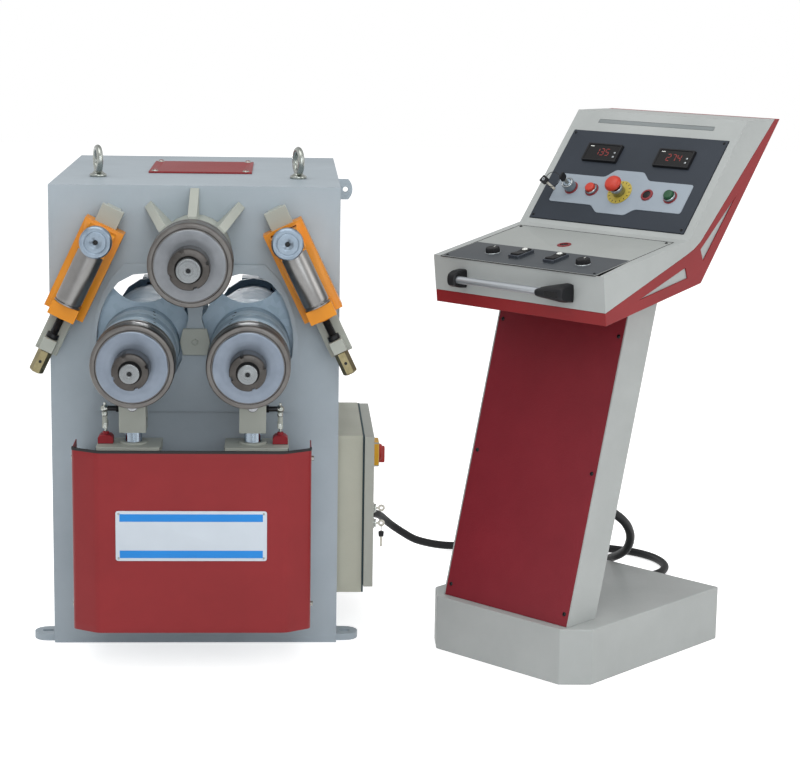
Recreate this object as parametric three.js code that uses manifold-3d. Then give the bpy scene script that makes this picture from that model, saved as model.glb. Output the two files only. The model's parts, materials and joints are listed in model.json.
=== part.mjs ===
// Hydraulic ring roller: three section rolls in a welded casing, two side guides, and a separate control
// console on a leaning post, joined to the casing by one cable.
// Millimetres. X runs to the right, Y to the back and Z up. The origin lies on the floor, at the middle of
// the casing's footprint. "Ahead" is a distance in front of the casing's front plate.

import * as THREE from 'three';
import { mergeVertices } from 'three/addons/utils/BufferGeometryUtils.js';
import Module from 'manifold-3d';

const wasm = await Module();
wasm.setup();

// Driving dimensions

const gap = 0.3;
const overrun = 5;
const sink = 1;
const round = { roll: 24, drum: 24, shaft: 16, small: 12, tiny: 8, arc: 4 };
const hexagon = 6;

const casing = { width: 630, depth: 765, height: 1027, wall: 8, frontPlate: 20, floorPlate: 12 };
casing.rearFlange = 45;
const innerPlate = { from: 270, thickness: 20 };
const pad = { halfTop: 152, halfWide: 226, top: 857, shoulder: 690, bottom: 531, thickness: 6, bulge: 24 };
pad.swell = 12;
pad.bulgeShare = 0.42;
pad.stepShares = [0.25, 0.5, 0.75];
const foot = { reach: 49, width: 60, thickness: 15, slotWidth: 14, slotLength: 26, inset: 45 };
const earthLug = { reach: 32, height: 46, drop: 2, thickness: 8, behind: 215, holeRadius: 6, holeIn: 16 };
earthLug.endRadius = 32;
const coverBracket = { bottom: 115, top: 440, thickness: 6 };
const rearWindow = { topEdge: 42, barBottom: 520, bar: 40 };
rearWindow.top = casing.height - rearWindow.topEdge;
const wallGland = { behind: 600, height: 150, radius: 17, nut: 12, neck: 13, length: 28 };

const pivot = { height: 687.5, radius: 17.7, clearance: 0.7, capTopHalf: 26, capMidHalf: 33 };
pivot.capHalfHeight = 29;
pivot.capThickness = 8;
pivot.bolt = { radius: 7, height: 3 };
const arm = { radius: 121, restAngle: -6.7, drumRadius: 86, knuckleRadius: 31, webUp: 17, webDown: 22 };
arm.lugRoot = 20;
arm.leftKnuckles = [[40, 90], [170, 220]];
arm.rightKnuckles = [[95, 145], [225, 262]];
const slot = { radius: 93, lowExtra: 2, highAngle: 28.2 };
const housing = { ahead: 150, behind: 330, boreClearance: 1 };
const upper = { height: 886, housingRadius: 80 };
const rib = { thickness: 19.5, reach: 144, verticalReach: 137, toeAhead: 138, toeHeight: 10 };

const shaft = { endAhead: 326, journalRadius: 40, seatRadius: 30, collarRadius: 52 };
shaft.centreRadius = 4;
shaft.centreDepth = 12;
shaft.collarAhead = 152;
shaft.couplingRadius = 22;
shaft.couplingLength = 24;
shaft.couplingPlay = 0.8;
shaft.upper = { end: 25, nut: 43 };
shaft.lower = { end: 20.5, nut: 38.5 };
const nut = { frontAhead: 308, notch: 8, notchDepth: 4, notches: 4, notchTurn: 36, chamfer: 3 };
const roll = { radius: 88.5, backAhead: 165, faceAhead: 250, faceRadius: 75, rimStep: 4, groove: 2.5 };
roll.grooveAt = 28;
roll.edge = 5;
const drive = { flangeRadius: 86, bodyRadius: 72, motorRadius: 54, flange: 20, gearbox: 130, ring: 18 };
drive.motor = 110;
drive.portBlock = { width: 60, height: 46, length: 60 };

const cylinder = { x: 128, ahead: 110, footHeight: 130, barrelRadius: 42, boreRadius: 32, barrelBottom: 158 };
cylinder.barrelTop = 469;
cylinder.floor = 190;
cylinder.eyeRadius = 24;
cylinder.eyeThickness = 30;
cylinder.pinRadius = 12;
const headFlange = { inner: 60, outer: 77, depth: 100, top: 484 };
const sensor = { offset: 59, width: 32, depth: 30, top: 503, bevel: 6, tubeRadius: 11, tubeBottom: 300 };
sensor.rodRadius = 3;
const rod = { radius: 18.3, bottom: 215, pistonTop: 250, pistonRadius: 31.7 };
const lug = { thickness: 30, radius: 27, belowPivot: 117.5, holeRadius: 18.5 };
lug.pinHeight = pivot.height - lug.belowPivot;
const fork = { width: 57, depth: 64, belowPin: 58, abovePin: 11, slotWidth: 31, slotBelowPin: 34 };
fork.chamferSide = 14.5;
fork.bottom = lug.pinHeight - fork.belowPin;
fork.top = lug.pinHeight + fork.abovePin;
fork.chamferDrop = 10;
fork.shoulder = fork.top - fork.chamferDrop;
fork.slotBottom = lug.pinHeight - fork.slotBelowPin;
const link = { belowPin: 6, studRadius: 5, ballRadius: 8, ballRings: 6, turnRadius: 5.5, turnTopDrop: 12 };
link.turnBottomDrop = 42;
link.rodDrop = 184;
link.height = lug.pinHeight - link.belowPin;
link.turnTop = link.height - link.turnTopDrop;
link.turnBottom = link.height - link.turnBottomDrop;
link.rodBottom = link.height - link.rodDrop;
const shelf = { halfWidth: 205, back: 12, backTop: 165, bottom: 90, thickness: 10, ear: 9, earHalf: 24 };
shelf.earTop = 152;
shelf.earPlay = 1;
const cover = { halfFace: 200, halfWidth: 254, faceAhead: 215, cornerAhead: 183, sideAhead: 92, sheet: 3 };
cover.bottom = 90;
cover.top = 487;

const guide = { x: 234, belowUpper: 35, tilt: 25.5 };
guide.height = upper.height - guide.belowUpper;
const rail = { halfHead: 25, halfNeck: 16, neck: 25, thickness: 45, top: 145, bottom: -200 };
const thrust = { half: 15, top: -162, bottom: -190, ahead: 95 };
const carriage = { half: 45, halfLength: 105, plate: 17, block: 30, cheekAhead: 8, upperFrom: 50 };
carriage.upperTo = 98;
carriage.upperAhead = 140;
carriage.lowerTo = -75;
carriage.lowerAhead = 130;
carriage.bossRadius = 19;
carriage.bossLength = 8;
const guideRoller = { ahead: 111.5, radius: 28.5, collarRadius: 29, collar: 10, journal: 8 };
guideRoller.journalLength = 9;
guideRoller.neck = 25.5;
guideRoller.lip = 28;
guideRoller.neckLow = 3.5;
guideRoller.neckHigh = 6.5;
const guideDisc = { at: 78, radius: 34, thickness: 23, journal: 10, journalLength: 18, faceRadius: 22 };
guideDisc.hole = 4;
guideDisc.chamfer = 3;
guideDisc.holeDepth = 9;
guideDisc.groove = { width: 1.5, depth: 1 };
const screw = { ahead: 73, radius: 9, top: -45, collarRadius: 13.5, collar: 11, hexRadius: 16 };
screw.hexBottom = -243;
screw.crossHole = 3.5;
screw.clearance = 0.6;

const eyebolt = { x: 224, behind: 195, ring: 26, wire: 7, collarRadius: 19, collar: 8, shank: 8 };
eyebolt.depth = 30;
eyebolt.turn = 15;
eyebolt.ringSegments = 16;
eyebolt.ringLift = 38.2;
eyebolt.shoulder = 5.6;
eyebolt.neck = 12.8;
const topPlate = { halfWidth: 118, from: 290, to: 572, thickness: 4, screwRadius: 6, screwHeight: 4 };
topPlate.screwInset = 14;
const rearCover = { sheet: 4, overlap: 20, louvres: 5, louvreWidth: 260, louvreHeight: 8, louvrePitch: 32 };
rearCover.louvreLifts = [115, 335];

const cabinet = { inner: 245, outer: 372, from: 48, to: 428, bottom: 103, top: 467, sheet: 3 };
cabinet.board = { inset: 20 };
cabinet.gearShares = [
  [0.12, 0.3, 0.62, 0.9], [0.36, 0.52, 0.62, 0.9], [0.6, 0.88, 0.58, 0.9], [0.12, 0.88, 0.15, 0.3],
];
cabinet.gearDepths = [56, 48, 68, 36];
const door = { inner: 376, outer: 397, from: 35, to: 421, bottom: 120, top: 466, sheet: 2.5 };
const hinge = { x: 386, behind: 432, radius: 8.5, pin: 4, clearance: 0.6, heights: [190, 380], length: 18 };
hinge.block = 12;
hinge.armHalf = 6.8;
hinge.blockReach = 24;
const mainSwitch = { behind: 180, height: 400, plate: 56, body: 16, handle: 14, handleWidth: 16, shaft: 5 };
mainSwitch.disc = { radius: 20, height: 7 };
mainSwitch.reach = { down: 24, up: 14.4 };
const doorLock = { behind: 62, heights: [297, 262], radius: 12.5, core: 7.7, bore: 8, barrel: 7, bow: 8 };
doorLock.keyThickness = 2.5;
doorLock.blade = 2.5;
doorLock.keyReach = 12;

const tank = { halfWidth: 170, centreX: -90, from: 330, to: 720, top: 290, sheet: 4 };
tank.filler = { x: 40, behind: 650, radius: 14 };
const pump = { x: -150, behind: 560, radius: 80, height: 190, flange: 12, flangeRadius: 95, capRadius: 60 };
pump.cap = 18;
pump.terminals = { reach: 36, bottom: 57, top: 133 };
const valve = { x: 20, behind: 480, halfWidth: 45, halfDepth: 65, block: 55, height: 110 };
valve.coil = { halfWidth: 27, from: 6.5, to: 97.5, bottom: 49.5 };

const consoleAt = { x: 678.5, ahead: 190.9, turn: 45.9 };
const base = { centre: -27, halfWidth: 225, depth: 515, height: 123, chamfer: 50, wall: 5, floor: 8 };
base.cableWay = { halfWidth: 106, from: 9, length: 76 };
const post = { centre: -24, halfWidth: 176, front: 20.4, thickness: 97, lean: 15.1, sheet: 3, lip: 12 };
post.topPlay = 0.6;
const postGland = { across: 81, height: 335, radius: 17, nut: 14, neck: 13, length: 26 };
const head = { centre: 10, halfWidth: 231, sheet: 3, seam: 12, front: 1.3, bottom: 785 };
head.face = { run: -12.8, rise: 103 };
head.deskSlope = { run: 290.5, rise: 51 };
head.panelSlope = { run: 201, rise: 244.5 };
head.crown = { run: 127, rise: -0.9 };
head.rear = { run: -276, rise: -339.6 };
head.cableWay = { at: 219, halfWidth: 88, length: 58, below: 10, above: 25 };

const offset = ([across, up], step) => [across + step.run, up + step.rise];
head.bottomFront = [head.front, head.bottom];
head.deskFront = offset(head.bottomFront, head.face);
head.fold = offset(head.deskFront, head.deskSlope);
head.topFront = offset(head.fold, head.panelSlope);
head.topBack = offset(head.topFront, head.crown);
head.rearCorner = offset(head.topBack, head.rear);

// Line between the head's two colours, and the places on its sides, each a step from a corner of the outline
const band = { linerSheet: 3 };
band.front = offset(head.bottomFront, { run: -3.3, rise: 27 });
band.bendLow = offset(head.fold, { run: -8, rise: -31.5 });
band.bendMid = offset(head.fold, { run: 21, rise: -20 });
band.bendHigh = offset(head.fold, { run: 44.8, rise: -5.4 });
band.top = offset(head.topBack, { run: -21, rise: 0.1 });
band.lowWindow = [{ run: -165, rise: -110 }, { run: -7, rise: -57.6 }, { run: 2, rise: -80.1 }]
  .map((step) => offset(head.fold, step));
band.highWindow = [{ run: 46, rise: -23.1 }, { run: 57.3, rise: -48.1 }, { run: 169.4, rise: 82.2 }]
  .map((step) => offset(head.fold, step));
band.liner = [
  { run: -189, rise: -91 }, { run: -171, rise: -117 }, { run: 11, rise: -89 }, { run: 63, rise: -67 },
  { run: 177, rise: 69 }, { run: 179, rise: 127 }, { run: 55, rise: 16 }, { run: 21, rise: -9 },
].map((step) => offset(head.fold, step));
const grille = { halfWidth: 158, at: 289, height: 11 };
const desk = { halfWidth: 208, from: 1, to: 268, sheet: 3, joint: 0.8 };
const panel = { halfWidth: 211, from: 14, to: 259, sheet: 2 };
const buttonPlate = { half: 180, wide: 60, low: 61, high: 137, lowMid: 43, highMid: 158, sheet: 1.5 };
buttonPlate.narrow = 38;
const meter = { across: 98, at: 199, halfWidth: 48, halfHeight: 24, proud: 9, window: 2, rim: 6 };
const controls = { at: 100, keyAcross: -135, redAcross: -77, stopAcross: 0, lampAcross: 74 };
controls.greenAcross = 136;
controls.collarRadius = 14;
controls.collar = 8;
controls.capRadius = 11.5;
controls.capProud = 7;
controls.stem = 7;
controls.stemLength = 12;
controls.travel = 4;
controls.seat = 1;
const stop = { collarRadius: 14.5, collar: 24, radius: 20, cap: 15, ringRadius: 30, ring: 1.5, travel: 5 };
stop.edge = { radius: 19, rise: 2 };
stop.brow = 9;
stop.crown = { radius: 16, rise: 13.5 };
const lamp = { radius: 13, proud: 3, bore: 9.5, sunk: 1 };
const keySwitch = { clearance: 0.4, collar: 22, keyHalf: 9, keyLength: 18, keyThickness: 4, core: 9.5 };
keySwitch.blade = 10;
keySwitch.bladeHalf = { across: 1.5, up: 4 };
const knob = { radius: 15, height: 12, across: [-115, 130], at: 62, stem: 4, stemLength: 10, skirt: 17.5 };
knob.skirtHeight = 3;
knob.sides = { grip: 8, skirt: 16 };
const rocker = { across: [-36, 58], at: 62, halfWidth: 15, halfLength: 27, frame: 9, rim: 3, cap: 3 };
rocker.play = 0.6;
rocker.dish = 1.5;
rocker.keel = 1.2;
rocker.pivotHeight = 4;
rocker.end = 1;
const grip = { left: [-160, -138], right: [80, 152], height: 845, bracketHeight: 40, standOff: 30, tube: 8 };
grip.nose = 12;
grip.taper = { length: 55, rise: 8 };

// The cable lies on the floor behind the console and climbs to the post, so its route is a list of places
const cable = { radius: 10, halfSides: 4, steps: 60 };
cable.route = [
  [343.6, 217.5, 150], [361, 217.5, 150], [385, 221, 148.5], [409, 234, 144], [428, 257, 136], [442, 288, 123],
  [456, 320, 104], [476, 346, 82], [504, 360, 60], [536, 371, 39], [574, 383, 25], [620, 396, 15],
  [675, 411, 10.8], [745, 425, 10.3], [850, 430, 10.3], [950, 414, 10.3], [1046, 385, 10.3], [1115, 345, 10.3],
  [1158, 285, 10.3], [1168, 210, 10.3], [1136, 143, 10.3], [1076, 109, 12], [1015, 96, 22], [969, 62, 42],
  [952, 8, 68], [961, -52, 97], [978, -114, 124], [990, -180, 153], [993, -250, 188], [986, -318, 234],
  [965, -374, 276], [936, -411, 306], [906, -436, 327], [888, -450.2, 333.5], [874, -463.4, 335],
  [862.7, -474.3, 335],
];

const front = -casing.depth / 2;
const back = casing.depth / 2;
const degrees = Math.PI / 180;

// Solids from three.js shapes

function solid(source) {
  const bare = source.index ? source.toNonIndexed() : source.clone();
  bare.deleteAttribute('normal');
  bare.deleteAttribute('uv');
  const merged = mergeVertices(bare, 1e-4);
  const triangles = [];
  const index = merged.index.array;
  for (let i = 0; i < index.length; i += 3) {
    const [a, b, c] = [index[i], index[i + 1], index[i + 2]];
    if (a !== b && b !== c && c !== a) triangles.push(a, b, c);
  }
  const places = new Float32Array(merged.attributes.position.array);
  if (signedVolume(places, triangles) < 0) {
    for (let i = 0; i < triangles.length; i += 3) {
      [triangles[i + 1], triangles[i + 2]] = [triangles[i + 2], triangles[i + 1]];
    }
  }
  return new wasm.Manifold(new wasm.Mesh({
    numProp: 3, vertProperties: places, triVerts: new Uint32Array(triangles),
  }));
}

function signedVolume(places, triangles) {
  const corner = (i) => new THREE.Vector3(places[3 * i], places[3 * i + 1], places[3 * i + 2]);
  let sum = 0;
  for (let i = 0; i < triangles.length; i += 3) {
    const [a, b, c] = [corner(triangles[i]), corner(triangles[i + 1]), corner(triangles[i + 2])];
    sum += a.dot(b.cross(c));
  }
  return sum;
}

function join(first, ...others) {
  return others.reduce((whole, piece) => whole.add(piece), first);
}

function cut(first, ...cutters) {
  return cutters.reduce((whole, cutter) => whole.subtract(cutter), first);
}

// A box between two opposite corners
function box(x0, x1, y0, y1, z0, z1) {
  const shape = new THREE.BoxGeometry(Math.abs(x1 - x0), Math.abs(y1 - y0), Math.abs(z1 - z0));
  return solid(shape.translate((x0 + x1) / 2, (y0 + y1) / 2, (z0 + z1) / 2));
}

function outline(points) {
  return new THREE.Shape(points.map(([a, b]) => new THREE.Vector2(a, b)));
}

// A shape drawn in X and Z, carried from y0 to y1
function prismY(shape, y0, y1) {
  const flat = new THREE.ExtrudeGeometry(shape, { depth: y1 - y0, bevelEnabled: false, curveSegments: round.arc });
  return solid(flat.rotateX(Math.PI / 2).translate(0, y1, 0));
}

// A shape drawn in X and Y, carried from z0 to z1
function prismZ(shape, z0, z1) {
  const flat = new THREE.ExtrudeGeometry(shape, { depth: z1 - z0, bevelEnabled: false, curveSegments: round.arc });
  return solid(flat.translate(0, 0, z0));
}

// A shape drawn in Y and Z, carried from x0 to x1
function prismX(shape, x0, x1) {
  const flat = new THREE.ExtrudeGeometry(shape, { depth: x1 - x0, bevelEnabled: false, curveSegments: round.arc });
  return solid(flat.rotateX(Math.PI / 2).rotateZ(Math.PI / 2).translate(x0, 0, 0));
}

// A profile of [radius, place] points turned about an axis along Y, Z or X
function turnedY(points, segments, x = 0, z = 0) {
  const profile = points.map(([radius, place]) => new THREE.Vector2(radius, place));
  return solid(new THREE.LatheGeometry(profile, segments).translate(x, 0, z));
}

function turnedZ(points, segments, x = 0, y = 0) {
  const profile = points.map(([radius, place]) => new THREE.Vector2(radius, place));
  return solid(new THREE.LatheGeometry(profile, segments).rotateX(Math.PI / 2).translate(x, y, 0));
}

function turnedX(points, segments, y = 0, z = 0) {
  const profile = points.map(([radius, place]) => new THREE.Vector2(radius, place));
  return solid(new THREE.LatheGeometry(profile, segments).rotateZ(-Math.PI / 2).translate(0, y, z));
}

const barY = (radius, y0, y1, x, z, segments = round.small) =>
  turnedY([[0, y0], [radius, y0], [radius, y1], [0, y1]], segments, x, z);
const barZ = (radius, z0, z1, x, y, segments = round.small) =>
  turnedZ([[0, z0], [radius, z0], [radius, z1], [0, z1]], segments, x, y);
const barX = (radius, x0, x1, y, z, segments = round.small) =>
  turnedX([[0, x0], [radius, x0], [radius, x1], [0, x1]], segments, y, z);

// A polygon moved inwards by a sheet's thickness, each corner to where its two moved sides cross
function inset(points, thickness) {
  const turn = THREE.ShapeUtils.isClockWise(points.map(([a, b]) => new THREE.Vector2(a, b))) ? -1 : 1;
  return points.map((point, i) => {
    const before = points[(i + points.length - 1) % points.length];
    const after = points[(i + 1) % points.length];
    const normal = (from, to) => {
      const length = Math.hypot(to[0] - from[0], to[1] - from[1]);
      return [-turn * (to[1] - from[1]) / length, turn * (to[0] - from[0]) / length];
    };
    const [n1, n2] = [normal(before, point), normal(point, after)];
    const share = thickness / (1 + n1[0] * n2[0] + n1[1] * n2[1]);
    return [point[0] + share * (n1[0] + n2[0]), point[1] + share * (n1[1] + n2[1])];
  });
}

// Finishes, and the scene graph

const finish = (color, roughness, metalness) => new THREE.MeshStandardMaterial({ color, roughness, metalness });
const greyPaint = finish('#b9bdb8', 0.5, 0);
const redPaint = finish('#8e2a30', 0.45, 0);
const orangePaint = finish('#e08a10', 0.45, 0);
const darkPaint = finish('#434852', 0.5, 0);
const steel = finish('#8a8681', 0.35, 0.9);
const paleSteel = finish('#aab0b8', 0.3, 0.9);
const chrome = finish('#c8ccd0', 0.12, 1);
const blackOxide = finish('#1d1e20', 0.5, 0.5);
const zinc = finish('#a9aca6', 0.4, 0.8);
const blackPlastic = finish('#1c1c1e', 0.5, 0);
const redPlastic = finish('#e8452a', 0.35, 0);
const greenPlastic = finish('#1f6b3a', 0.35, 0);
const beigePaint = finish('#a8a493', 0.5, 0);

const machine = new THREE.Group();

function piece(name, body, material, parent = machine) {
  const mesh = body.getMesh();
  const shape = new THREE.BufferGeometry();
  shape.setAttribute('position', new THREE.BufferAttribute(new Float32Array(mesh.vertProperties), 3));
  shape.setIndex(new THREE.BufferAttribute(new Uint32Array(mesh.triVerts), 1));
  const node = new THREE.Mesh(shape, material);
  node.name = name;
  parent.add(node);
  return node;
}

// Places that several pieces share

const sides = [['left', -1], ['right', 1]];
const lowerPlace = (side, angle = arm.restAngle) => [
  side * arm.radius * Math.cos(angle * degrees), pivot.height + arm.radius * Math.sin(angle * degrees),
];

// Kidney-shaped window that a drum swings in, about the central pivot
function swingWindow(side) {
  const low = (arm.restAngle - slot.lowExtra) * degrees;
  const high = slot.highAngle * degrees;
  const shape = new THREE.Shape();
  const [lowX, lowZ] = [arm.radius * Math.cos(low), arm.radius * Math.sin(low)];
  const [highX, highZ] = [arm.radius * Math.cos(high), arm.radius * Math.sin(high)];
  shape.absarc(0, 0, arm.radius + slot.radius, low, high, false);
  shape.absarc(highX, highZ, slot.radius, high, high + Math.PI, false);
  shape.absarc(0, 0, arm.radius - slot.radius, high, low, true);
  shape.absarc(lowX, lowZ, slot.radius, low + Math.PI, low + 2 * Math.PI, false);
  const points = shape.getPoints(round.arc).map((p) => [side * p.x, p.y + pivot.height]);
  return outline(points);
}

// Casing

function makeCasing() {
  const half = casing.width / 2;
  const innerHalf = half - casing.wall;
  const cavityFront = front + casing.frontPlate;
  let body = cut(
    box(-half, half, front, back, 0, casing.height),
    box(-innerHalf, innerHalf, cavityFront, back - casing.wall, casing.floorPlate, casing.height - casing.wall),
    box(-half + casing.rearFlange, half - casing.rearFlange, back - casing.wall - overrun, back + overrun,
      casing.rearFlange, rearWindow.barBottom),
    box(-half + casing.rearFlange, half - casing.rearFlange, back - casing.wall - overrun, back + overrun,
      rearWindow.barBottom + rearWindow.bar, rearWindow.top),
  );
  const plateFrom = front + innerPlate.from;
  body = join(body, box(-innerHalf - sink, innerHalf + sink, plateFrom, plateFrom + innerPlate.thickness,
    casing.floorPlate - sink, casing.height - casing.wall + sink));
  const padShape = outline([
    [-pad.halfWide, pad.bottom], [pad.halfWide, pad.bottom], [pad.halfWide, pad.shoulder],
    ...padArc(1), [pad.halfTop, pad.top], [-pad.halfTop, pad.top], ...padArc(-1), [-pad.halfWide, pad.shoulder],
  ]);
  body = join(body, prismY(padShape, front - pad.thickness, front + overrun));
  const through = [front - pad.thickness - overrun, plateFrom + innerPlate.thickness + overrun];
  body = cut(
    body,
    prismY(swingWindow(-1), ...through),
    prismY(swingWindow(1), ...through),
    barY(upper.housingRadius + gap, ...through, 0, upper.height, round.drum),
    barY(pivot.radius + gap, ...through, 0, pivot.height, round.shaft),
  );
  const cabinetWindow = box(cabinet.inner - gap, half + overrun, front + cabinet.from - gap,
    front + cabinet.to + gap, cabinet.bottom - gap, cabinet.top + gap);
  body = cut(body, cabinetWindow);
  for (const [, side] of sides) {
    body = join(body, footLug(side, front + foot.inset), footLug(side, back - foot.inset));
    const bracketX = side * (cover.halfWidth - cover.sheet - gap);
    body = join(body, box(bracketX, bracketX - side * coverBracket.thickness, front + overrun,
      front - cover.cornerAhead + cover.sheet, coverBracket.bottom, coverBracket.top));
    body = cut(body, barZ(eyebolt.shank + gap, casing.height - casing.wall - overrun, casing.height + overrun,
      side * eyebolt.x, front + eyebolt.behind));
  }
  return join(body, makeEarthLug());
}

// Lug with a rounded end and a hole, on the right wall
function makeEarthLug() {
  const wall = casing.width / 2;
  const y = front + earthLug.behind;
  const halfHeight = earthLug.height / 2;
  const middle = casing.height - earthLug.drop - halfHeight;
  const angle = Math.asin(halfHeight / earthLug.endRadius);
  const shape = new THREE.Shape();
  shape.moveTo(wall - sink, middle + halfHeight);
  shape.lineTo(wall - sink, middle - halfHeight);
  shape.absarc(wall + earthLug.reach - earthLug.endRadius, middle, earthLug.endRadius, -angle, angle, false);
  return cut(
    prismY(shape, y, y + earthLug.thickness),
    barY(earthLug.holeRadius, y - overrun, y + earthLug.thickness + overrun, wall + earthLug.holeIn, middle),
  );
}

// Gland that the cable leaves the right wall by, with its nut
function makeCableGland() {
  const [start, y] = [casing.width / 2 + gap, front + wallGland.behind];
  return turnedX([
    [0, start], [wallGland.radius, start], [wallGland.radius, start + wallGland.nut],
    [wallGland.neck, start + wallGland.nut], [wallGland.neck, start + wallGland.length],
    [0, start + wallGland.length],
  ], round.small, y, wallGland.height);
}

// The pad's shoulders bulge out in an arc, from its straight side to its narrower top edge
function padArc(side) {
  const middle = [side * (pad.halfWide + pad.halfTop + pad.bulge) / 2, (pad.top + pad.shoulder) / 2];
  const points = pad.stepShares.map((t) => {
    const start = [side * pad.halfWide, pad.shoulder];
    const end = [side * pad.halfTop, pad.top];
    const bend = [middle[0] + side * pad.swell, middle[1] + (pad.top - middle[1]) * pad.bulgeShare];
    const blendAt = (axis) => (1 - t) ** 2 * start[axis] + 2 * t * (1 - t) * bend[axis] + t ** 2 * end[axis];
    return [blendAt(0), blendAt(1)];
  });
  return side > 0 ? points : points.reverse();
}

function footLug(side, y) {
  const half = casing.width / 2;
  const nose = foot.width / 2;
  const shape = new THREE.Shape();
  shape.moveTo(-overrun, -nose);
  shape.lineTo(foot.reach - nose, -nose);
  shape.absarc(foot.reach - nose, 0, nose, -Math.PI / 2, Math.PI / 2, false);
  shape.lineTo(-overrun, nose);
  const slotHalf = foot.slotWidth / 2;
  const hole = new THREE.Path();
  const slotIn = foot.reach - nose - (foot.slotLength - foot.slotWidth) / 2;
  const slotOut = foot.reach - nose + (foot.slotLength - foot.slotWidth) / 2;
  hole.absarc(slotOut, 0, slotHalf, -Math.PI / 2, Math.PI / 2, false);
  hole.absarc(slotIn, 0, slotHalf, Math.PI / 2, 1.5 * Math.PI, false);
  shape.holes.push(hole);
  const flat = prismZ(shape, 0, foot.thickness);
  return flat.rotate([0, 0, side < 0 ? 180 : 0]).translate([side * half, y, 0]);
}

function makeRearCover() {
  const half = casing.width / 2 - casing.rearFlange + rearCover.overlap;
  const y0 = back + gap;
  const bottom = casing.rearFlange - rearCover.overlap;
  let sheet = box(-half, half, y0, y0 + rearCover.sheet, bottom, rearWindow.barBottom + rearCover.overlap);
  for (const lift of rearCover.louvreLifts) {
    for (let i = 0; i < rearCover.louvres; i += 1) {
      const z = bottom + lift + i * rearCover.louvrePitch;
      sheet = cut(sheet, box(-rearCover.louvreWidth / 2, rearCover.louvreWidth / 2, y0 - overrun,
        y0 + rearCover.sheet + overrun, z, z + rearCover.louvreHeight));
    }
  }
  return sheet;
}

// Central pivot pin with its cover plate and bolt
function makePivot() {
  const plateBack = front - pad.thickness - gap;
  const plateFront = plateBack - pivot.capThickness;
  const cap = outline([
    [-pivot.capTopHalf, pivot.height - pivot.capHalfHeight], [pivot.capTopHalf, pivot.height - pivot.capHalfHeight],
    [pivot.capMidHalf, pivot.height], [pivot.capTopHalf, pivot.height + pivot.capHalfHeight],
    [-pivot.capTopHalf, pivot.height + pivot.capHalfHeight], [-pivot.capMidHalf, pivot.height],
  ]);
  return join(
    prismY(cap, plateFront, plateBack),
    barY(pivot.radius, plateBack - pivot.capThickness / 2, front + innerPlate.from + innerPlate.thickness, 0,
      pivot.height, round.shaft),
    barY(pivot.bolt.radius, plateFront - pivot.bolt.height, plateFront + overrun, 0, pivot.height, hexagon),
  );
}

// Bearing housings

function bearingTube(radius, x, z) {
  const [near, far] = [front - housing.ahead, front + housing.behind];
  const bore = shaft.journalRadius + housing.boreClearance;
  return turnedY([[bore, near], [radius, near], [radius, far], [bore, far], [bore, near]], round.drum, x, z);
}

function makeUpperHousing() {
  let body = bearingTube(upper.housingRadius, 0, upper.height);
  for (const [angle, reach] of [[90, rib.verticalReach], [45, rib.reach], [135, rib.reach]]) {
    const inner = upper.housingRadius - overrun;
    const plateFace = front - gap;
    const toe = front - rib.toeAhead;
    const shape = new THREE.Shape([
      new THREE.Vector2(plateFace, inner), new THREE.Vector2(plateFace, reach),
      new THREE.Vector2(toe, upper.housingRadius + rib.toeHeight), new THREE.Vector2(toe, inner),
    ]);
    const flat = new THREE.ExtrudeGeometry(shape, { depth: rib.thickness, bevelEnabled: false });
    flat.translate(0, 0, -rib.thickness / 2).rotateX(Math.PI / 2).rotateZ(Math.PI / 2);
    flat.rotateY((90 - angle) * degrees).translate(0, 0, upper.height);
    body = join(body, solid(flat));
  }
  return body;
}

function makeArm(side) {
  const [x, z] = lowerPlace(side);
  let body = bearingTube(arm.drumRadius, x, z);
  for (const [from, to] of side < 0 ? arm.leftKnuckles : arm.rightKnuckles) {
    const [y0, y1] = [front + from, front + to];
    const web = box(side * overrun, side * (arm.radius - arm.drumRadius / 2), y0, y1,
      pivot.height - arm.webDown, pivot.height + arm.webUp);
    body = join(body, barY(arm.knuckleRadius, y0, y1, 0, pivot.height, round.shaft), web);
  }
  const y = front - cylinder.ahead;
  const lugTop = z - arm.drumRadius + arm.lugRoot;
  const lugShape = new THREE.Shape();
  lugShape.moveTo(side * cylinder.x + lug.radius, lugTop);
  lugShape.lineTo(side * cylinder.x - lug.radius, lugTop);
  lugShape.lineTo(side * cylinder.x - lug.radius, lug.pinHeight);
  lugShape.absarc(side * cylinder.x, lug.pinHeight, lug.radius, Math.PI, 2 * Math.PI, false);
  body = join(body, prismY(lugShape, y - lug.thickness / 2, y + lug.thickness / 2));
  return cut(
    body,
    barY(lug.holeRadius, y - lug.thickness, y + lug.thickness, side * cylinder.x, lug.pinHeight, round.shaft),
    barY(shaft.journalRadius + housing.boreClearance, front - housing.ahead - overrun,
      front + housing.behind + overrun, x, z, round.drum),
    barY(pivot.radius + pivot.clearance, front, front + innerPlate.from, 0, pivot.height, round.shaft),
  );
}

// Shafts, rolls and drives

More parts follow.
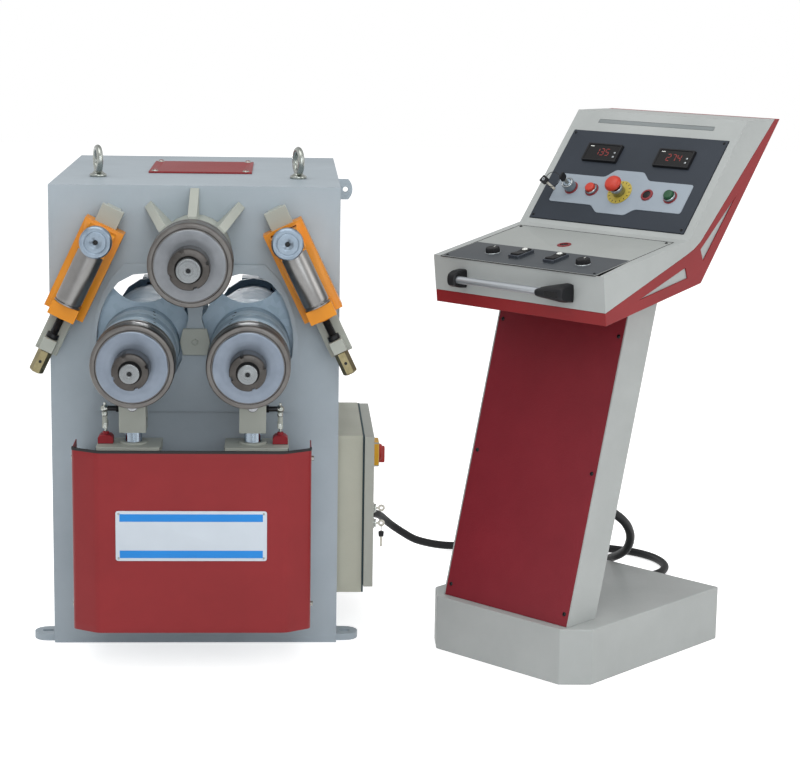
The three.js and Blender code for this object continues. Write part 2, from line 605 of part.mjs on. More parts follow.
function makeShaft(x, z, sizes) {
  const y = (ahead) => front - ahead;
  const rear = front + housing.behind;
  let body = turnedY([
    [0, y(shaft.endAhead - shaft.centreDepth)], [shaft.centreRadius, y(shaft.endAhead - shaft.centreDepth)],
    [shaft.centreRadius, y(shaft.endAhead)], [sizes.end - nut.chamfer / 2, y(shaft.endAhead)],
    [sizes.end, y(shaft.endAhead - nut.chamfer / 2)], [sizes.end, y(nut.frontAhead)],
    [sizes.nut - nut.chamfer, y(nut.frontAhead)], [sizes.nut, y(nut.frontAhead - nut.chamfer)],
    [sizes.nut, y(roll.faceAhead + gap)], [shaft.seatRadius, y(roll.faceAhead + gap)],
    [shaft.seatRadius, y(roll.backAhead - gap)], [shaft.collarRadius, y(roll.backAhead - gap)],
    [shaft.collarRadius, y(shaft.collarAhead)], [shaft.journalRadius, y(shaft.collarAhead)],
    [shaft.journalRadius, rear], [shaft.couplingRadius, rear], [shaft.couplingRadius, rear + shaft.couplingLength],
    [0, rear + shaft.couplingLength],
  ], round.shaft, x, z);
  for (let i = 0; i < nut.notches; i += 1) {
    const turn = 2 * Math.PI * i / nut.notches + nut.notchTurn * degrees;
    const notch = new THREE.BoxGeometry(nut.notch, nut.notch * 2, nut.notch);
    const depth = sizes.nut - nut.notchDepth + nut.notch / 2;
    notch.translate(0, y(nut.frontAhead), depth).rotateY(turn).translate(x, 0, z);
    body = cut(body, solid(notch));
  }
  return body;
}

function makeRoll(x, z) {
  const y = (ahead) => front - ahead;
  const bore = shaft.seatRadius + gap;
  const grooveNear = roll.backAhead + roll.grooveAt;
  const inGroove = roll.radius - roll.groove;
  return turnedY([
    [bore, y(roll.faceAhead)], [roll.faceRadius, y(roll.faceAhead)],
    [roll.faceRadius, y(roll.faceAhead - roll.rimStep)],
    [roll.radius - roll.edge, y(roll.faceAhead - roll.rimStep)],
    [roll.radius, y(roll.faceAhead - roll.rimStep - roll.edge)], [roll.radius, y(grooveNear + roll.edge)],
    [inGroove, y(grooveNear + roll.edge)], [inGroove, y(grooveNear)], [roll.radius, y(grooveNear)],
    [roll.radius, y(roll.backAhead + roll.edge)], [roll.radius - roll.edge, y(roll.backAhead)],
    [bore, y(roll.backAhead)], [bore, y(roll.faceAhead)],
  ], round.roll, x, z);
}

// Gearbox and oil motor in line with a shaft
function makeDrive(x, z) {
  const start = front + housing.behind + gap;
  const gearboxEnd = start + drive.flange + drive.gearbox;
  const motorStart = gearboxEnd + drive.ring;
  const end = motorStart + drive.motor;
  const bore = shaft.couplingRadius + shaft.couplingPlay;
  const pocket = start + shaft.couplingLength + overrun;
  const port = drive.portBlock;
  return join(
    turnedY([
      [bore, start], [drive.flangeRadius, start], [drive.flangeRadius, start + drive.flange],
      [drive.bodyRadius, start + drive.flange], [drive.bodyRadius, gearboxEnd], [drive.flangeRadius, gearboxEnd],
      [drive.flangeRadius, motorStart], [drive.motorRadius, motorStart], [drive.motorRadius, end], [0, end],
      [0, pocket], [bore, pocket], [bore, start],
    ], round.shaft, x, z),
    box(x - port.width / 2, x + port.width / 2, end - port.length, end - overrun,
      z + drive.motorRadius - port.height / 2, z + drive.motorRadius + port.height / 2),
  );
}

// Lifting cylinders, with their position sensors

function makeCylinder(side) {
  const x = side * cylinder.x;
  const y = front - cylinder.ahead;
  const sensorX = x + side * sensor.offset;
  const eyeHalf = cylinder.eyeThickness / 2;
  let body = join(
    barZ(cylinder.barrelRadius, cylinder.barrelBottom, cylinder.barrelTop + overrun, x, y, round.shaft),
    box(x - side * headFlange.inner, x + side * headFlange.outer, y - headFlange.depth / 2,
      y + headFlange.depth / 2, cylinder.barrelTop, headFlange.top),
    barY(cylinder.eyeRadius, y - eyeHalf, y + eyeHalf, x, cylinder.footHeight, round.small),
    box(x - cylinder.eyeRadius, x + cylinder.eyeRadius, y - eyeHalf, y + eyeHalf, cylinder.footHeight,
      cylinder.barrelBottom + overrun),
    barZ(sensor.tubeRadius, sensor.tubeBottom, cylinder.barrelTop + overrun, sensorX, y, round.tiny),
  );
  const [halfW, top, low] = [sensor.width / 2, sensor.top, headFlange.top - overrun];
  const cap = outline([
    [sensorX - halfW, low], [sensorX + halfW, low], [sensorX + halfW, top - sensor.bevel],
    [sensorX + halfW - sensor.bevel, top], [sensorX - halfW + sensor.bevel, top],
    [sensorX - halfW, top - sensor.bevel],
  ]);
  body = join(body, prismY(cap, y - sensor.depth / 2, y + sensor.depth / 2));
  return cut(
    body,
    barZ(cylinder.boreRadius, cylinder.floor, cylinder.barrelTop - overrun * 2, x, y, round.shaft),
    barZ(rod.radius + gap, cylinder.floor, headFlange.top + overrun, x, y, round.shaft),
    barY(cylinder.pinRadius + gap, y - cylinder.eyeThickness, y + cylinder.eyeThickness, x, cylinder.footHeight),
    barZ(sensor.rodRadius + gap, sensor.tubeBottom - overrun, sensor.top + overrun, sensorX, y, round.tiny),
  );
}

function makeRod(side) {
  const [x, y] = [side * cylinder.x, front - cylinder.ahead];
  return turnedZ([
    [0, rod.bottom], [rod.pistonRadius, rod.bottom], [rod.pistonRadius, rod.pistonTop], [rod.radius, rod.pistonTop],
    [rod.radius, fork.bottom - gap], [0, fork.bottom - gap],
  ], round.shaft, x, y);
}

function makeFork(side) {
  const [x, y] = [side * cylinder.x, front - cylinder.ahead];
  const half = fork.width / 2;
  const block = outline([
    [x - half, fork.bottom], [x + half, fork.bottom], [x + half, fork.shoulder],
    [x + half - fork.chamferSide, fork.top], [x - half + fork.chamferSide, fork.top], [x - half, fork.shoulder],
  ]);
  const sensorX = x + side * sensor.offset;
  const slotted = cut(
    prismY(block, y - fork.depth / 2, y + fork.depth / 2),
    box(x - fork.width, x + fork.width, y - fork.slotWidth / 2, y + fork.slotWidth / 2,
      fork.slotBottom, fork.top + overrun),
  );
  const studEnd = sensorX + side * link.ballRadius;
  return join(
    slotted,
    barY(cylinder.pinRadius, y - fork.depth / 2, y + fork.depth / 2, x, lug.pinHeight, round.small),
    studBlock(side, x, y),
    barX(link.studRadius, Math.min(x + side * half, studEnd), Math.max(x + side * half, studEnd),
      y - fork.depth / 2 + link.ballRadius, link.height, round.tiny),
    linkRod(sensorX, y),
  );
}

// Cross bar that carries the sensor link in front of the fork's slot
function studBlock(side, x, y) {
  const outer = x + side * fork.width / 2;
  return box(outer - side * overrun, outer + side * gap, y - fork.depth / 2, y - fork.slotWidth / 2,
    link.height - link.ballRadius, link.height + link.ballRadius);
}

function linkRod(sensorX, y) {
  const yFront = y - fork.depth / 2 + link.ballRadius;
  const ball = new THREE.SphereGeometry(link.ballRadius, round.tiny, link.ballRings);
  ball.translate(sensorX, yFront, link.height);
  const jog = box(sensorX - link.turnRadius, sensorX + link.turnRadius, yFront - link.turnRadius,
    y + link.turnRadius, link.turnBottom, link.turnBottom + 2 * link.turnRadius);
  return join(
    solid(ball),
    barZ(link.turnRadius, link.turnBottom, link.turnTop + link.turnRadius, sensorX, yFront, round.tiny),
    jog,
    barZ(sensor.rodRadius, link.rodBottom, link.turnBottom + link.turnRadius, sensorX, y, round.tiny),
  );
}

// Shelf and ears that the two cylinders stand in
function makeShelf() {
  const y = (ahead) => front - ahead;
  let body = join(
    box(-shelf.halfWidth, shelf.halfWidth, y(shelf.back), y(gap), shelf.bottom, shelf.backTop),
    box(-shelf.halfWidth, shelf.halfWidth, y(cylinder.ahead + cylinder.eyeThickness), y(shelf.back / 2),
      shelf.bottom, shelf.bottom + shelf.thickness),
  );
  const earGap = cylinder.eyeThickness / 2 + shelf.earPlay;
  for (const [, side] of sides) {
    const x = side * cylinder.x;
    for (const way of [-1, 1]) {
      const near = front - cylinder.ahead + way * earGap;
      body = join(body, box(x - shelf.earHalf, x + shelf.earHalf, near, near + way * shelf.ear,
        shelf.bottom + shelf.thickness / 2, shelf.earTop));
    }
    const reach = earGap + shelf.ear;
    body = join(body, barY(cylinder.pinRadius, front - cylinder.ahead - reach, front - cylinder.ahead + reach,
      x, cylinder.footHeight));
  }
  return body;
}

function makeFrontCover() {
  const y = (ahead) => front - ahead;
  const outside = [
    [-cover.halfWidth, y(cover.sideAhead)], [-cover.halfWidth, y(cover.cornerAhead)],
    [-cover.halfFace, y(cover.faceAhead)], [cover.halfFace, y(cover.faceAhead)],
    [cover.halfWidth, y(cover.cornerAhead)], [cover.halfWidth, y(cover.sideAhead)],
  ];
  const inside = inset([...outside, [0, y(0)]], cover.sheet).slice(0, 6);
  inside[0] = [-cover.halfWidth + cover.sheet, y(cover.sideAhead)];
  inside[5] = [cover.halfWidth - cover.sheet, y(cover.sideAhead)];
  return prismZ(outline([...outside, ...inside.reverse()]), cover.bottom, cover.top);
}

// Side guides, each in a group turned to its rail's slope, with Z up the rail

function makeRail() {
  const y = (ahead) => front - ahead;
  const tee = outline([
    [-rail.halfNeck, y(gap)], [-rail.halfNeck, y(rail.neck)], [-rail.halfHead, y(rail.neck)],
    [-rail.halfHead, y(rail.thickness)], [rail.halfHead, y(rail.thickness)], [rail.halfHead, y(rail.neck)],
    [rail.halfNeck, y(rail.neck)], [rail.halfNeck, y(gap)],
  ]);
  return cut(
    join(prismZ(tee, rail.bottom, rail.top),
      box(-thrust.half, thrust.half, y(thrust.ahead), y(rail.thickness - overrun), thrust.bottom, thrust.top)),
    barZ(screw.radius + screw.clearance, thrust.bottom - overrun, thrust.top + overrun, 0, y(screw.ahead)),
  );
}

function makeCarriage() {
  const y = (ahead) => front - ahead;
  const plateAhead = rail.thickness + gap + carriage.plate;
  const [low, high] = [-carriage.halfLength, carriage.halfLength];
  const inner = rail.halfHead + gap;
  const lip = rail.halfNeck + gap;
  const channel = outline([
    [-carriage.half, y(plateAhead)], [carriage.half, y(plateAhead)], [carriage.half, y(carriage.cheekAhead)],
    [lip, y(carriage.cheekAhead)], [lip, y(rail.neck - gap)], [inner, y(rail.neck - gap)],
    [inner, y(rail.thickness + gap)], [-inner, y(rail.thickness + gap)], [-inner, y(rail.neck - gap)],
    [-lip, y(rail.neck - gap)], [-lip, y(carriage.cheekAhead)], [-carriage.half, y(carriage.cheekAhead)],
  ]);
  const half = carriage.block;
  const block = (from, to, ahead) => box(-half, half, y(ahead), y(plateAhead - overrun), from, to);
  const boss = barZ(carriage.bossRadius, low - carriage.bossLength, low + overrun, 0, y(screw.ahead), hexagon);
  const whole = join(
    prismZ(channel, low, high),
    block(carriage.upperFrom, carriage.upperTo, carriage.upperAhead),
    block(low, carriage.lowerTo, carriage.lowerAhead),
    boss,
  );
  const discY = y(carriage.upperAhead);
  return cut(
    whole,
    barZ(screw.radius + screw.clearance, low - carriage.bossLength - overrun, carriage.lowerTo + overrun, 0,
      y(screw.ahead)),
    barZ(guideRoller.journal + gap, carriage.lowerTo - guideRoller.journalLength - gap,
      carriage.upperFrom + guideRoller.journalLength + gap, 0, y(guideRoller.ahead), round.shaft),
    barY(guideDisc.journal + gap, discY - overrun, discY + guideDisc.journalLength + gap, 0, guideDisc.at,
      round.shaft),
  );
}

function makeGuideRoller() {
  const { journal, journalLength, radius, collarRadius, collar, neck, neckLow, neckHigh, lip } = guideRoller;
  const [low, high] = [carriage.lowerTo + gap, carriage.upperFrom - gap];
  return turnedZ([
    [0, low - journalLength], [journal, low - journalLength], [journal, low], [collarRadius, low],
    [collarRadius, low + neckLow], [neck, low + neckLow], [neck, low + neckHigh], [lip, low + neckHigh],
    [lip, low + collar], [radius, low + collar], [radius, high], [journal, high], [journal, high + journalLength],
    [0, high + journalLength],
  ], round.shaft, 0, front - guideRoller.ahead);
}

function makeGuideDisc() {
  const y = (ahead) => front - ahead;
  const near = carriage.upperAhead + gap;
  const face = near + guideDisc.thickness;
  const { radius, chamfer, faceRadius, hole, holeDepth, groove } = guideDisc;
  return turnedY([
    [0, y(face - holeDepth)], [hole, y(face - holeDepth)], [hole, y(face)], [faceRadius, y(face)],
    [faceRadius, y(face - groove.depth)], [faceRadius + groove.width, y(face - groove.depth)],
    [faceRadius + groove.width, y(face)],
    [radius - chamfer, y(face)], [radius, y(face - chamfer)], [radius, y(near)], [guideDisc.journal, y(near)],
    [guideDisc.journal, y(near - guideDisc.journalLength)], [0, y(near - guideDisc.journalLength)],
  ], round.shaft, 0, guideDisc.at);
}

function makeLeadScrew() {
  const y = front - screw.ahead;
  const collarBottom = thrust.top + gap;
  const hexTop = thrust.bottom - gap;
  return cut(
    join(
      barZ(screw.radius, hexTop - overrun, screw.top, 0, y),
      barZ(screw.collarRadius, collarBottom, collarBottom + screw.collar, 0, y),
      barZ(screw.hexRadius, screw.hexBottom, hexTop, 0, y, hexagon),
    ),
    barY(screw.crossHole, y - screw.hexRadius - overrun, y + screw.hexRadius + overrun, 0,
      (screw.hexBottom + hexTop) / 2, round.tiny),
  );
}

// Lifting eyes and the plate on top

function makeEyebolt() {
  const top = casing.height;
  const ring = new THREE.TorusGeometry(eyebolt.ring, eyebolt.wire, round.tiny, eyebolt.ringSegments);
  return join(
    solid(ring.rotateY(Math.PI / 2).translate(0, 0, top + eyebolt.ringLift)),
    turnedZ([
      [0, top - eyebolt.depth], [eyebolt.shank, top - eyebolt.depth], [eyebolt.shank, top + gap],
      [eyebolt.collarRadius, top + gap], [eyebolt.collarRadius, top + eyebolt.shoulder],
      [eyebolt.wire, top + eyebolt.neck], [0, top + eyebolt.neck],
    ], round.small),
  );
}

function makeTopPlate() {
  const z0 = casing.height + gap;
  const [y0, y1] = [front + topPlate.from, front + topPlate.to];
  let body = box(-topPlate.halfWidth, topPlate.halfWidth, y0, y1, z0, z0 + topPlate.thickness);
  for (const side of [-1, 1]) {
    for (const y of [y0 + topPlate.screwInset, y1 - topPlate.screwInset]) {
      body = join(body, barZ(topPlate.screwRadius, z0 + topPlate.thickness / 2,
        z0 + topPlate.thickness + topPlate.screwHeight, side * (topPlate.halfWidth - topPlate.screwInset), y,
        round.tiny));
    }
  }
  return body;
}

// Electrical cabinet in the right wall

function makeCabinet() {
  const [y0, y1] = [front + cabinet.from, front + cabinet.to];
  const s = cabinet.sheet;
  const boardX = cabinet.inner + s + cabinet.board.inset;
  let body = cut(
    box(cabinet.inner, cabinet.outer, y0, y1, cabinet.bottom, cabinet.top),
    box(cabinet.inner + s, cabinet.outer + overrun, y0 + s, y1 - s, cabinet.bottom + s, cabinet.top - s),
  );
  body = join(body, box(cabinet.inner + s / 2, boardX, y0 + s / 2, y1 - s / 2, cabinet.bottom + s / 2,
    cabinet.top - s / 2));
  const along = (share) => y0 + share * (y1 - y0);
  const up = (share) => cabinet.bottom + share * (cabinet.top - cabinet.bottom);
  cabinet.gearShares.forEach(([from, to, low, high], i) => {
    const depth = cabinet.gearDepths[i];
    body = join(body, box(boardX - sink, boardX + depth, along(from), along(to), up(low), up(high)));
  });
  const pinY = front + hinge.behind;
  for (const z of hinge.heights) {
    body = join(
      body,
      box(cabinet.outer - hinge.blockReach, hinge.x + hinge.radius, y1 - s / 2, pinY + hinge.radius,
        z - hinge.block, z),
      barZ(hinge.pin, z - hinge.block / 2, z + hinge.length, hinge.x, pinY, round.tiny),
    );
  }
  return body;
}

function makeDoor() {
  const [y0, y1] = [front + door.from, front + door.to];
  const s = door.sheet;
  let body = cut(
    box(door.inner, door.outer, y0, y1, door.bottom, door.top),
    box(door.inner - overrun, door.outer - s, y0 + s, y1 - s, door.bottom + s, door.top - s),
  );
  const pinY = front + hinge.behind;
  for (const z of hinge.heights) {
    const arms = box(hinge.x - hinge.armHalf, hinge.x + hinge.armHalf, y1 - s / 2, pinY, z + gap,
      z + hinge.length);
    const knuckle = barZ(hinge.radius, z + gap, z + hinge.length, hinge.x, pinY, round.small);
    body = join(body, arms, knuckle);
  }
  for (const z of hinge.heights) {
    body = cut(body, barZ(hinge.pin + hinge.clearance, z - overrun, z + hinge.length + overrun, hinge.x, pinY,
      round.tiny));
  }
  const half = mainSwitch.plate / 2;
  const switchY = front + mainSwitch.behind;
  body = join(body, box(door.outer - s / 2, door.outer + mainSwitch.body, switchY - half, switchY + half,
    mainSwitch.height - half, mainSwitch.height + half));
  body = cut(body, barX(mainSwitch.shaft + gap, door.inner - overrun, door.outer + mainSwitch.body + overrun,
    switchY, mainSwitch.height));
  for (const z of doorLock.heights) {
    body = cut(body, barX(doorLock.bore, door.inner, door.outer + overrun, front + doorLock.behind, z));
  }
  return body;
}

function makeSwitchHandle() {
  const x0 = door.outer + mainSwitch.body + gap;
  const [y, z] = [front + mainSwitch.behind, mainSwitch.height];
  const half = mainSwitch.handleWidth / 2;
  return join(
    barX(mainSwitch.shaft, door.outer - overrun, x0 + overrun, y, z),
    barX(mainSwitch.disc.radius, x0, x0 + mainSwitch.disc.height, y, z),
    box(x0 + gap, x0 + mainSwitch.handle, y - half, y + half, z - mainSwitch.reach.down, z + mainSwitch.reach.up),
  );
}

function makeDoorLock(height) {
  const x0 = door.outer + gap;
  const y = front + doorLock.behind;
  const bow = x0 + doorLock.barrel + doorLock.keyReach;
  const half = doorLock.keyThickness / 2;
  return join(
    barX(doorLock.core, door.inner + gap, x0 + overrun, y, height),
    barX(doorLock.radius, x0, x0 + doorLock.barrel, y, height),
    box(x0 + doorLock.barrel - sink, bow, y - half, y + half, height - doorLock.blade, height + doorLock.blade),
    barY(doorLock.bow, y - half, y + half, bow, height, round.tiny),
  );
}

// Oil tank with the pump motor and the valve block bolted on it, inside the casing

function makeHydraulicUnit() {
  const z0 = casing.floorPlate + gap;
  const [x0, x1] = [tank.centreX - tank.halfWidth, tank.centreX + tank.halfWidth];
  const [y0, y1, s] = [front + tank.from, front + tank.to, tank.sheet];
  const shell = cut(
    box(x0, x1, y0, y1, z0, tank.top),
    box(x0 + s, x1 - s, y0 + s, y1 - s, z0 + s, tank.top - s),
    barZ(tank.filler.radius, tank.top - s - overrun, tank.top + overrun, tank.filler.x,
      front + tank.filler.behind),
  );
  return join(shell, makePump(), makeValve());
}

function makePump() {
  const z0 = tank.top - gap;
  const y = front + pump.behind;
  const top = z0 + pump.flange + pump.height;
  const body = turnedZ([
    [0, z0], [pump.flangeRadius, z0], [pump.flangeRadius, z0 + pump.flange], [pump.radius, z0 + pump.flange],
    [pump.radius, top], [pump.capRadius, top + pump.cap], [0, top + pump.cap],
  ], round.shaft, pump.x, y);
  const boxHalf = pump.radius / 2;
  const { reach, bottom: low, top: high } = pump.terminals;
  return join(body, box(pump.x - pump.radius - reach, pump.x - boxHalf, y - boxHalf, y + boxHalf, top - high,
    top - low));
}

function makeValve() {
  const z0 = tank.top - gap;
  const [x, y] = [valve.x, front + valve.behind];
  const { halfWidth: w, halfDepth: d, coil } = valve;
  let body = box(x - w, x + w, y - d, y + d, z0, z0 + valve.block);
  for (const side of [-1, 1]) {
    body = join(body, box(x - coil.halfWidth, x + coil.halfWidth, y + side * coil.from, y + side * coil.to,
      z0 + coil.bottom, z0 + valve.height));
  }
  return body;
}

// Control console, in a group whose X runs across it and Y from its operator to its back

const consoleGroup = new THREE.Group();
consoleGroup.position.set(consoleAt.x, front - consoleAt.ahead, 0);
consoleGroup.rotation.z = -consoleAt.turn * degrees;
machine.add(consoleGroup);

const leanShare = Math.tan(post.lean * degrees);
const underside = (across) => {
  const [a, b] = [head.bottomFront, head.rearCorner];
  return a[1] + (across - a[0]) * (b[1] - a[1]) / (b[0] - a[0]);
};

function makeBase() {
  const { centre, halfWidth, depth, chamfer, wall, cableWay } = base;
  const [left, right] = [centre - halfWidth, centre + halfWidth];
  const plan = [
    [left, chamfer], [left + chamfer, 0], [right - chamfer, 0], [right, chamfer], [right, depth], [left, depth],
  ];
  const wayFrom = post.front + cableWay.from;
  const opening = box(post.centre - cableWay.halfWidth, post.centre + cableWay.halfWidth, wayFrom,
    wayFrom + cableWay.length, base.height - wall - overrun, base.height + overrun);
  return cut(prismZ(outline(plan), 0, base.height),
    prismZ(outline(inset(plan, wall)), base.floor, base.height - wall), opening);
}

// The post's outline from the side, between two offsets from its front face
function postOutline(fromFront, toFront, drop = 0) {
  const foot0 = base.height + gap;
  const at = (offset, z) => post.front + offset + (z - base.height) * leanShare;
  const topAt = (offset) => {
    const slope = (head.rearCorner[1] - head.bottomFront[1]) / (head.rearCorner[0] - head.bottomFront[0]);
    const start = post.front + offset - base.height * leanShare;
    const height = head.bottomFront[1] + slope * (start - head.bottomFront[0]);
    return height / (1 - slope * leanShare) - post.topPlay + drop;
  };
  const [z1, z2] = [topAt(fromFront), topAt(toFront)];
  return outline([
    [at(fromFront, foot0 - drop), foot0 - drop], [at(toFront, foot0 - drop), foot0 - drop],
    [at(toFront, z2), z2], [at(fromFront, z1), z1],
  ]);
}

function makePost() {
  const [u0, u1] = [post.centre - post.halfWidth, post.centre + post.halfWidth];
  const shell = cut(
    prismX(postOutline(0, post.thickness), u0, u1),
    prismX(postOutline(-post.thickness, post.thickness - post.sheet, overrun), u0 + post.sheet, u1 - post.sheet),
  );
  const rear = post.front + post.thickness + (postGland.height - base.height) * leanShare;
  const across = post.centre + postGland.across;
  const lips = [u0 + sink, u1 - sink - post.lip].map((u) => prismX(
    postOutline(post.sheet + gap, post.sheet * 2), u, u + post.lip,
  ));
  const gland = turnedY([
    [0, rear - post.sheet], [postGland.radius, rear - post.sheet], [postGland.radius, rear + postGland.nut],
    [postGland.neck, rear + postGland.nut], [postGland.neck, rear + postGland.length],
    [0, rear + postGland.length],
  ], round.small, across, postGland.height);
  return join(shell, ...lips, gland);
}

function makePostPanel() {
  const inner = post.halfWidth - post.sheet - gap;
  return prismX(postOutline(0, post.sheet), post.centre - inner, post.centre + inner);
}

const headOutline = [
  head.bottomFront, head.deskFront, head.fold, head.topFront, head.topBack, head.rearCorner,
];
const bandLine = [band.front, band.bendLow, band.bendMid, band.bendHigh, band.top];

function headCavity() {
  const inner = head.halfWidth - head.sheet;
  return prismX(outline(inset(headOutline, head.sheet)), head.centre - inner, head.centre + inner);
}

// Rotation of a piece drawn flat (X across, Y up the slope, Z proud) onto the desk or the sloping panel
function onSlope(start, end, body) {
  const tilt = Math.atan2(end[1] - start[1], end[0] - start[0]) / degrees;
  return body.rotate([tilt, 0, 0]).translate([head.centre, start[0], start[1]]);
}
const onDesk = (body) => onSlope(head.deskFront, head.fold, body);
const onPanel = (body) => onSlope(head.fold, head.topFront, body);

function makeHead() {
  const upperShape = [head.deskFront, head.fold, head.topFront, ...[...bandLine].reverse()];
  const [u0, u1] = [head.centre - head.halfWidth, head.centre + head.halfWidth];
  let body = cut(prismX(outline(upperShape), u0, u1), headCavity());
  const lineIn = head.halfWidth - head.sheet - gap;
  for (const side of [-1, 1]) {
    const [near, far] = [head.centre + side * lineIn, head.centre + side * (lineIn - band.linerSheet)];
    const liner = prismX(outline(band.liner), Math.min(near, far), Math.max(near, far));
    const rim = bandLine.slice(1, 4);
    const seam = outline([...rim, ...rim.map(([v, z]) => [v, z + head.seam]).reverse()]);
    const outer = head.centre + side * (head.halfWidth - head.sheet / 2);
    body = join(body, liner, prismX(seam, Math.min(far, outer), Math.max(far, outer)));
  }
  const through = head.sheet + overrun;
  body = cut(body, onDesk(box(-desk.halfWidth - desk.joint, desk.halfWidth + desk.joint, desk.from - desk.joint,
    desk.to + desk.joint, -through, overrun)));
  const holes = [
    [controls.keyAcross, keySwitch.core + keySwitch.clearance], [controls.redAcross, controls.stem],
    [controls.stopAcross, controls.stem], [controls.greenAcross, controls.stem],
  ];
  for (const [across, radius] of holes) {
    body = cut(body, onPanel(barZ(radius + gap, -through, overrun, across, controls.at)));
  }
  return cut(body, onPanel(box(-grille.halfWidth, grille.halfWidth, grille.at - grille.height / 2,
    grille.at + grille.height / 2, -head.sheet / 2, overrun)));
}

function makeSkirt() {
  const lowered = bandLine.map(([v, z]) => [v + gap, z - gap]);
  const shape = [...lowered, head.topBack, head.rearCorner, head.bottomFront];
  const [u0, u1] = [head.centre - head.halfWidth, head.centre + head.halfWidth];
  let body = cut(prismX(outline(shape), u0, u1), headCavity());
  for (const triangle of [band.lowWindow, band.highWindow]) {
    body = cut(body, prismX(outline(triangle), u0 - overrun, u1 + overrun));
  }
  const way = head.cableWay;
  const [v, z] = [head.front + way.at, underside(head.front + way.at)];
  return cut(body, box(post.centre - way.halfWidth, post.centre + way.halfWidth, v, v + way.length, z - way.below,
    z + way.above));
}

function makeDeskPanel() {
  let body = box(-desk.halfWidth, desk.halfWidth, desk.from, desk.to, -desk.sheet, 0);
  for (const across of rocker.across) {
    const [w, l] = [rocker.halfWidth, rocker.halfLength];
    body = join(body, box(across - w, across + w, rocker.at - l, rocker.at + l, -desk.sheet, rocker.frame));
    body = cut(body, box(across - w + rocker.rim, across + w - rocker.rim, rocker.at - l + rocker.rim,
      rocker.at + l - rocker.rim, -desk.sheet / 2, rocker.frame + overrun));
  }
  for (const across of knob.across) {
    body = cut(body, barZ(knob.stem + gap, -desk.sheet - overrun, overrun, across, knob.at, round.tiny));
  }
  return onDesk(body);
}

// Pad that tips about a pin across the middle of its frame
function makeRocker(across) {
  const clear = rocker.rim + rocker.play;
  const [w, l] = [rocker.halfWidth - clear, rocker.halfLength - clear - rocker.end];
  const [bottom, top] = [rocker.pivotHeight - sink, rocker.frame + rocker.cap];
  const side = new THREE.Shape([
    new THREE.Vector2(rocker.at - l, bottom + rocker.cap), new THREE.Vector2(rocker.at, -rocker.keel),
    new THREE.Vector2(rocker.at + l, bottom + rocker.cap), new THREE.Vector2(rocker.at + l, top),
    new THREE.Vector2(rocker.at, top - rocker.dish), new THREE.Vector2(rocker.at - l, top),
  ]);
  return onDesk(prismX(side, across - w, across + w));
}

function makeKnob(across) {
  return onDesk(join(
    barZ(knob.stem, -knob.stemLength, overrun, across, knob.at, round.tiny),
    barZ(knob.skirt, gap, knob.skirtHeight, across, knob.at, knob.sides.skirt),
    barZ(knob.radius, knob.skirtHeight - sink, knob.height, across, knob.at, knob.sides.grip),
  ));
}

function makeInstrumentPanel() {
  const z0 = gap;
  const top = z0 + panel.sheet;
  let body = box(-panel.halfWidth, panel.halfWidth, panel.from, panel.to, z0, top);
  const bow = buttonPlate;
  body = join(body, prismZ(outline([
    [-bow.half, bow.low], [-bow.wide, bow.low], [-bow.narrow, bow.lowMid], [bow.narrow, bow.lowMid],
    [bow.wide, bow.low], [bow.half, bow.low], [bow.half, bow.high], [bow.wide, bow.high],
    [bow.narrow, bow.highMid], [-bow.narrow, bow.highMid], [-bow.wide, bow.high], [-bow.half, bow.high],
  ]), top - sink, top + bow.sheet));
  const face = top + bow.sheet;
  const collars = [
    [controls.keyAcross, controls.collarRadius, keySwitch.collar], [controls.redAcross, controls.collarRadius,
      controls.collar], [controls.stopAcross, stop.collarRadius, stop.collar],
    [controls.lampAcross, lamp.radius, lamp.proud],
    [controls.greenAcross, controls.collarRadius, controls.collar],
  ];
  for (const [across, radius, height] of collars) {
    body = join(body, barZ(radius, face - sink, face + height, across, controls.at, round.small));
  }
  body = join(body, barZ(stop.ringRadius, face - sink, face + stop.ring, controls.stopAcross, controls.at,
    round.small));
  const bores = [
    [controls.keyAcross, keySwitch.core + keySwitch.clearance, z0 - overrun],
    [controls.redAcross, controls.stem, z0 - overrun], [controls.stopAcross, controls.stem, z0 - overrun],
    [controls.greenAcross, controls.stem, z0 - overrun], [controls.lampAcross, lamp.bore, face - lamp.sunk],
    [controls.redAcross, controls.capRadius, face + controls.seat],
    [controls.greenAcross, controls.capRadius, face + controls.seat],
  ];
  for (const [across, radius, from] of bores) {
    body = cut(body, barZ(radius + gap, from, face + stop.collar + overrun, across, controls.at, round.small));
  }
  return onPanel(join(body, makeMeter(-1), makeMeter(1)));
}

// Bezel of a meter, with its window sunk
function makeMeter(side) {
  const z0 = gap;
  const [u, s] = [side * meter.across, meter.at];
  const [w, h] = [meter.halfWidth, meter.halfHeight];
  const { rim } = meter;
  return cut(
    box(u - w, u + w, s - h, s + h, z0, z0 + meter.proud),
    box(u - w + rim, u + w - rim, s - h + rim, s + h - rim, z0 + meter.proud - meter.window,
      z0 + meter.proud + overrun),
  );
}

const faceHeight = gap + panel.sheet + buttonPlate.sheet;

function makeButton(across) {
  const bottom = faceHeight + controls.seat + controls.travel + gap;
  const top = faceHeight + controls.collar + controls.capProud;
  return onPanel(join(
    barZ(controls.stem, -controls.stemLength, bottom + sink, across, controls.at, round.small),
    barZ(controls.capRadius, bottom, top, across, controls.at, round.small),
  ));
}

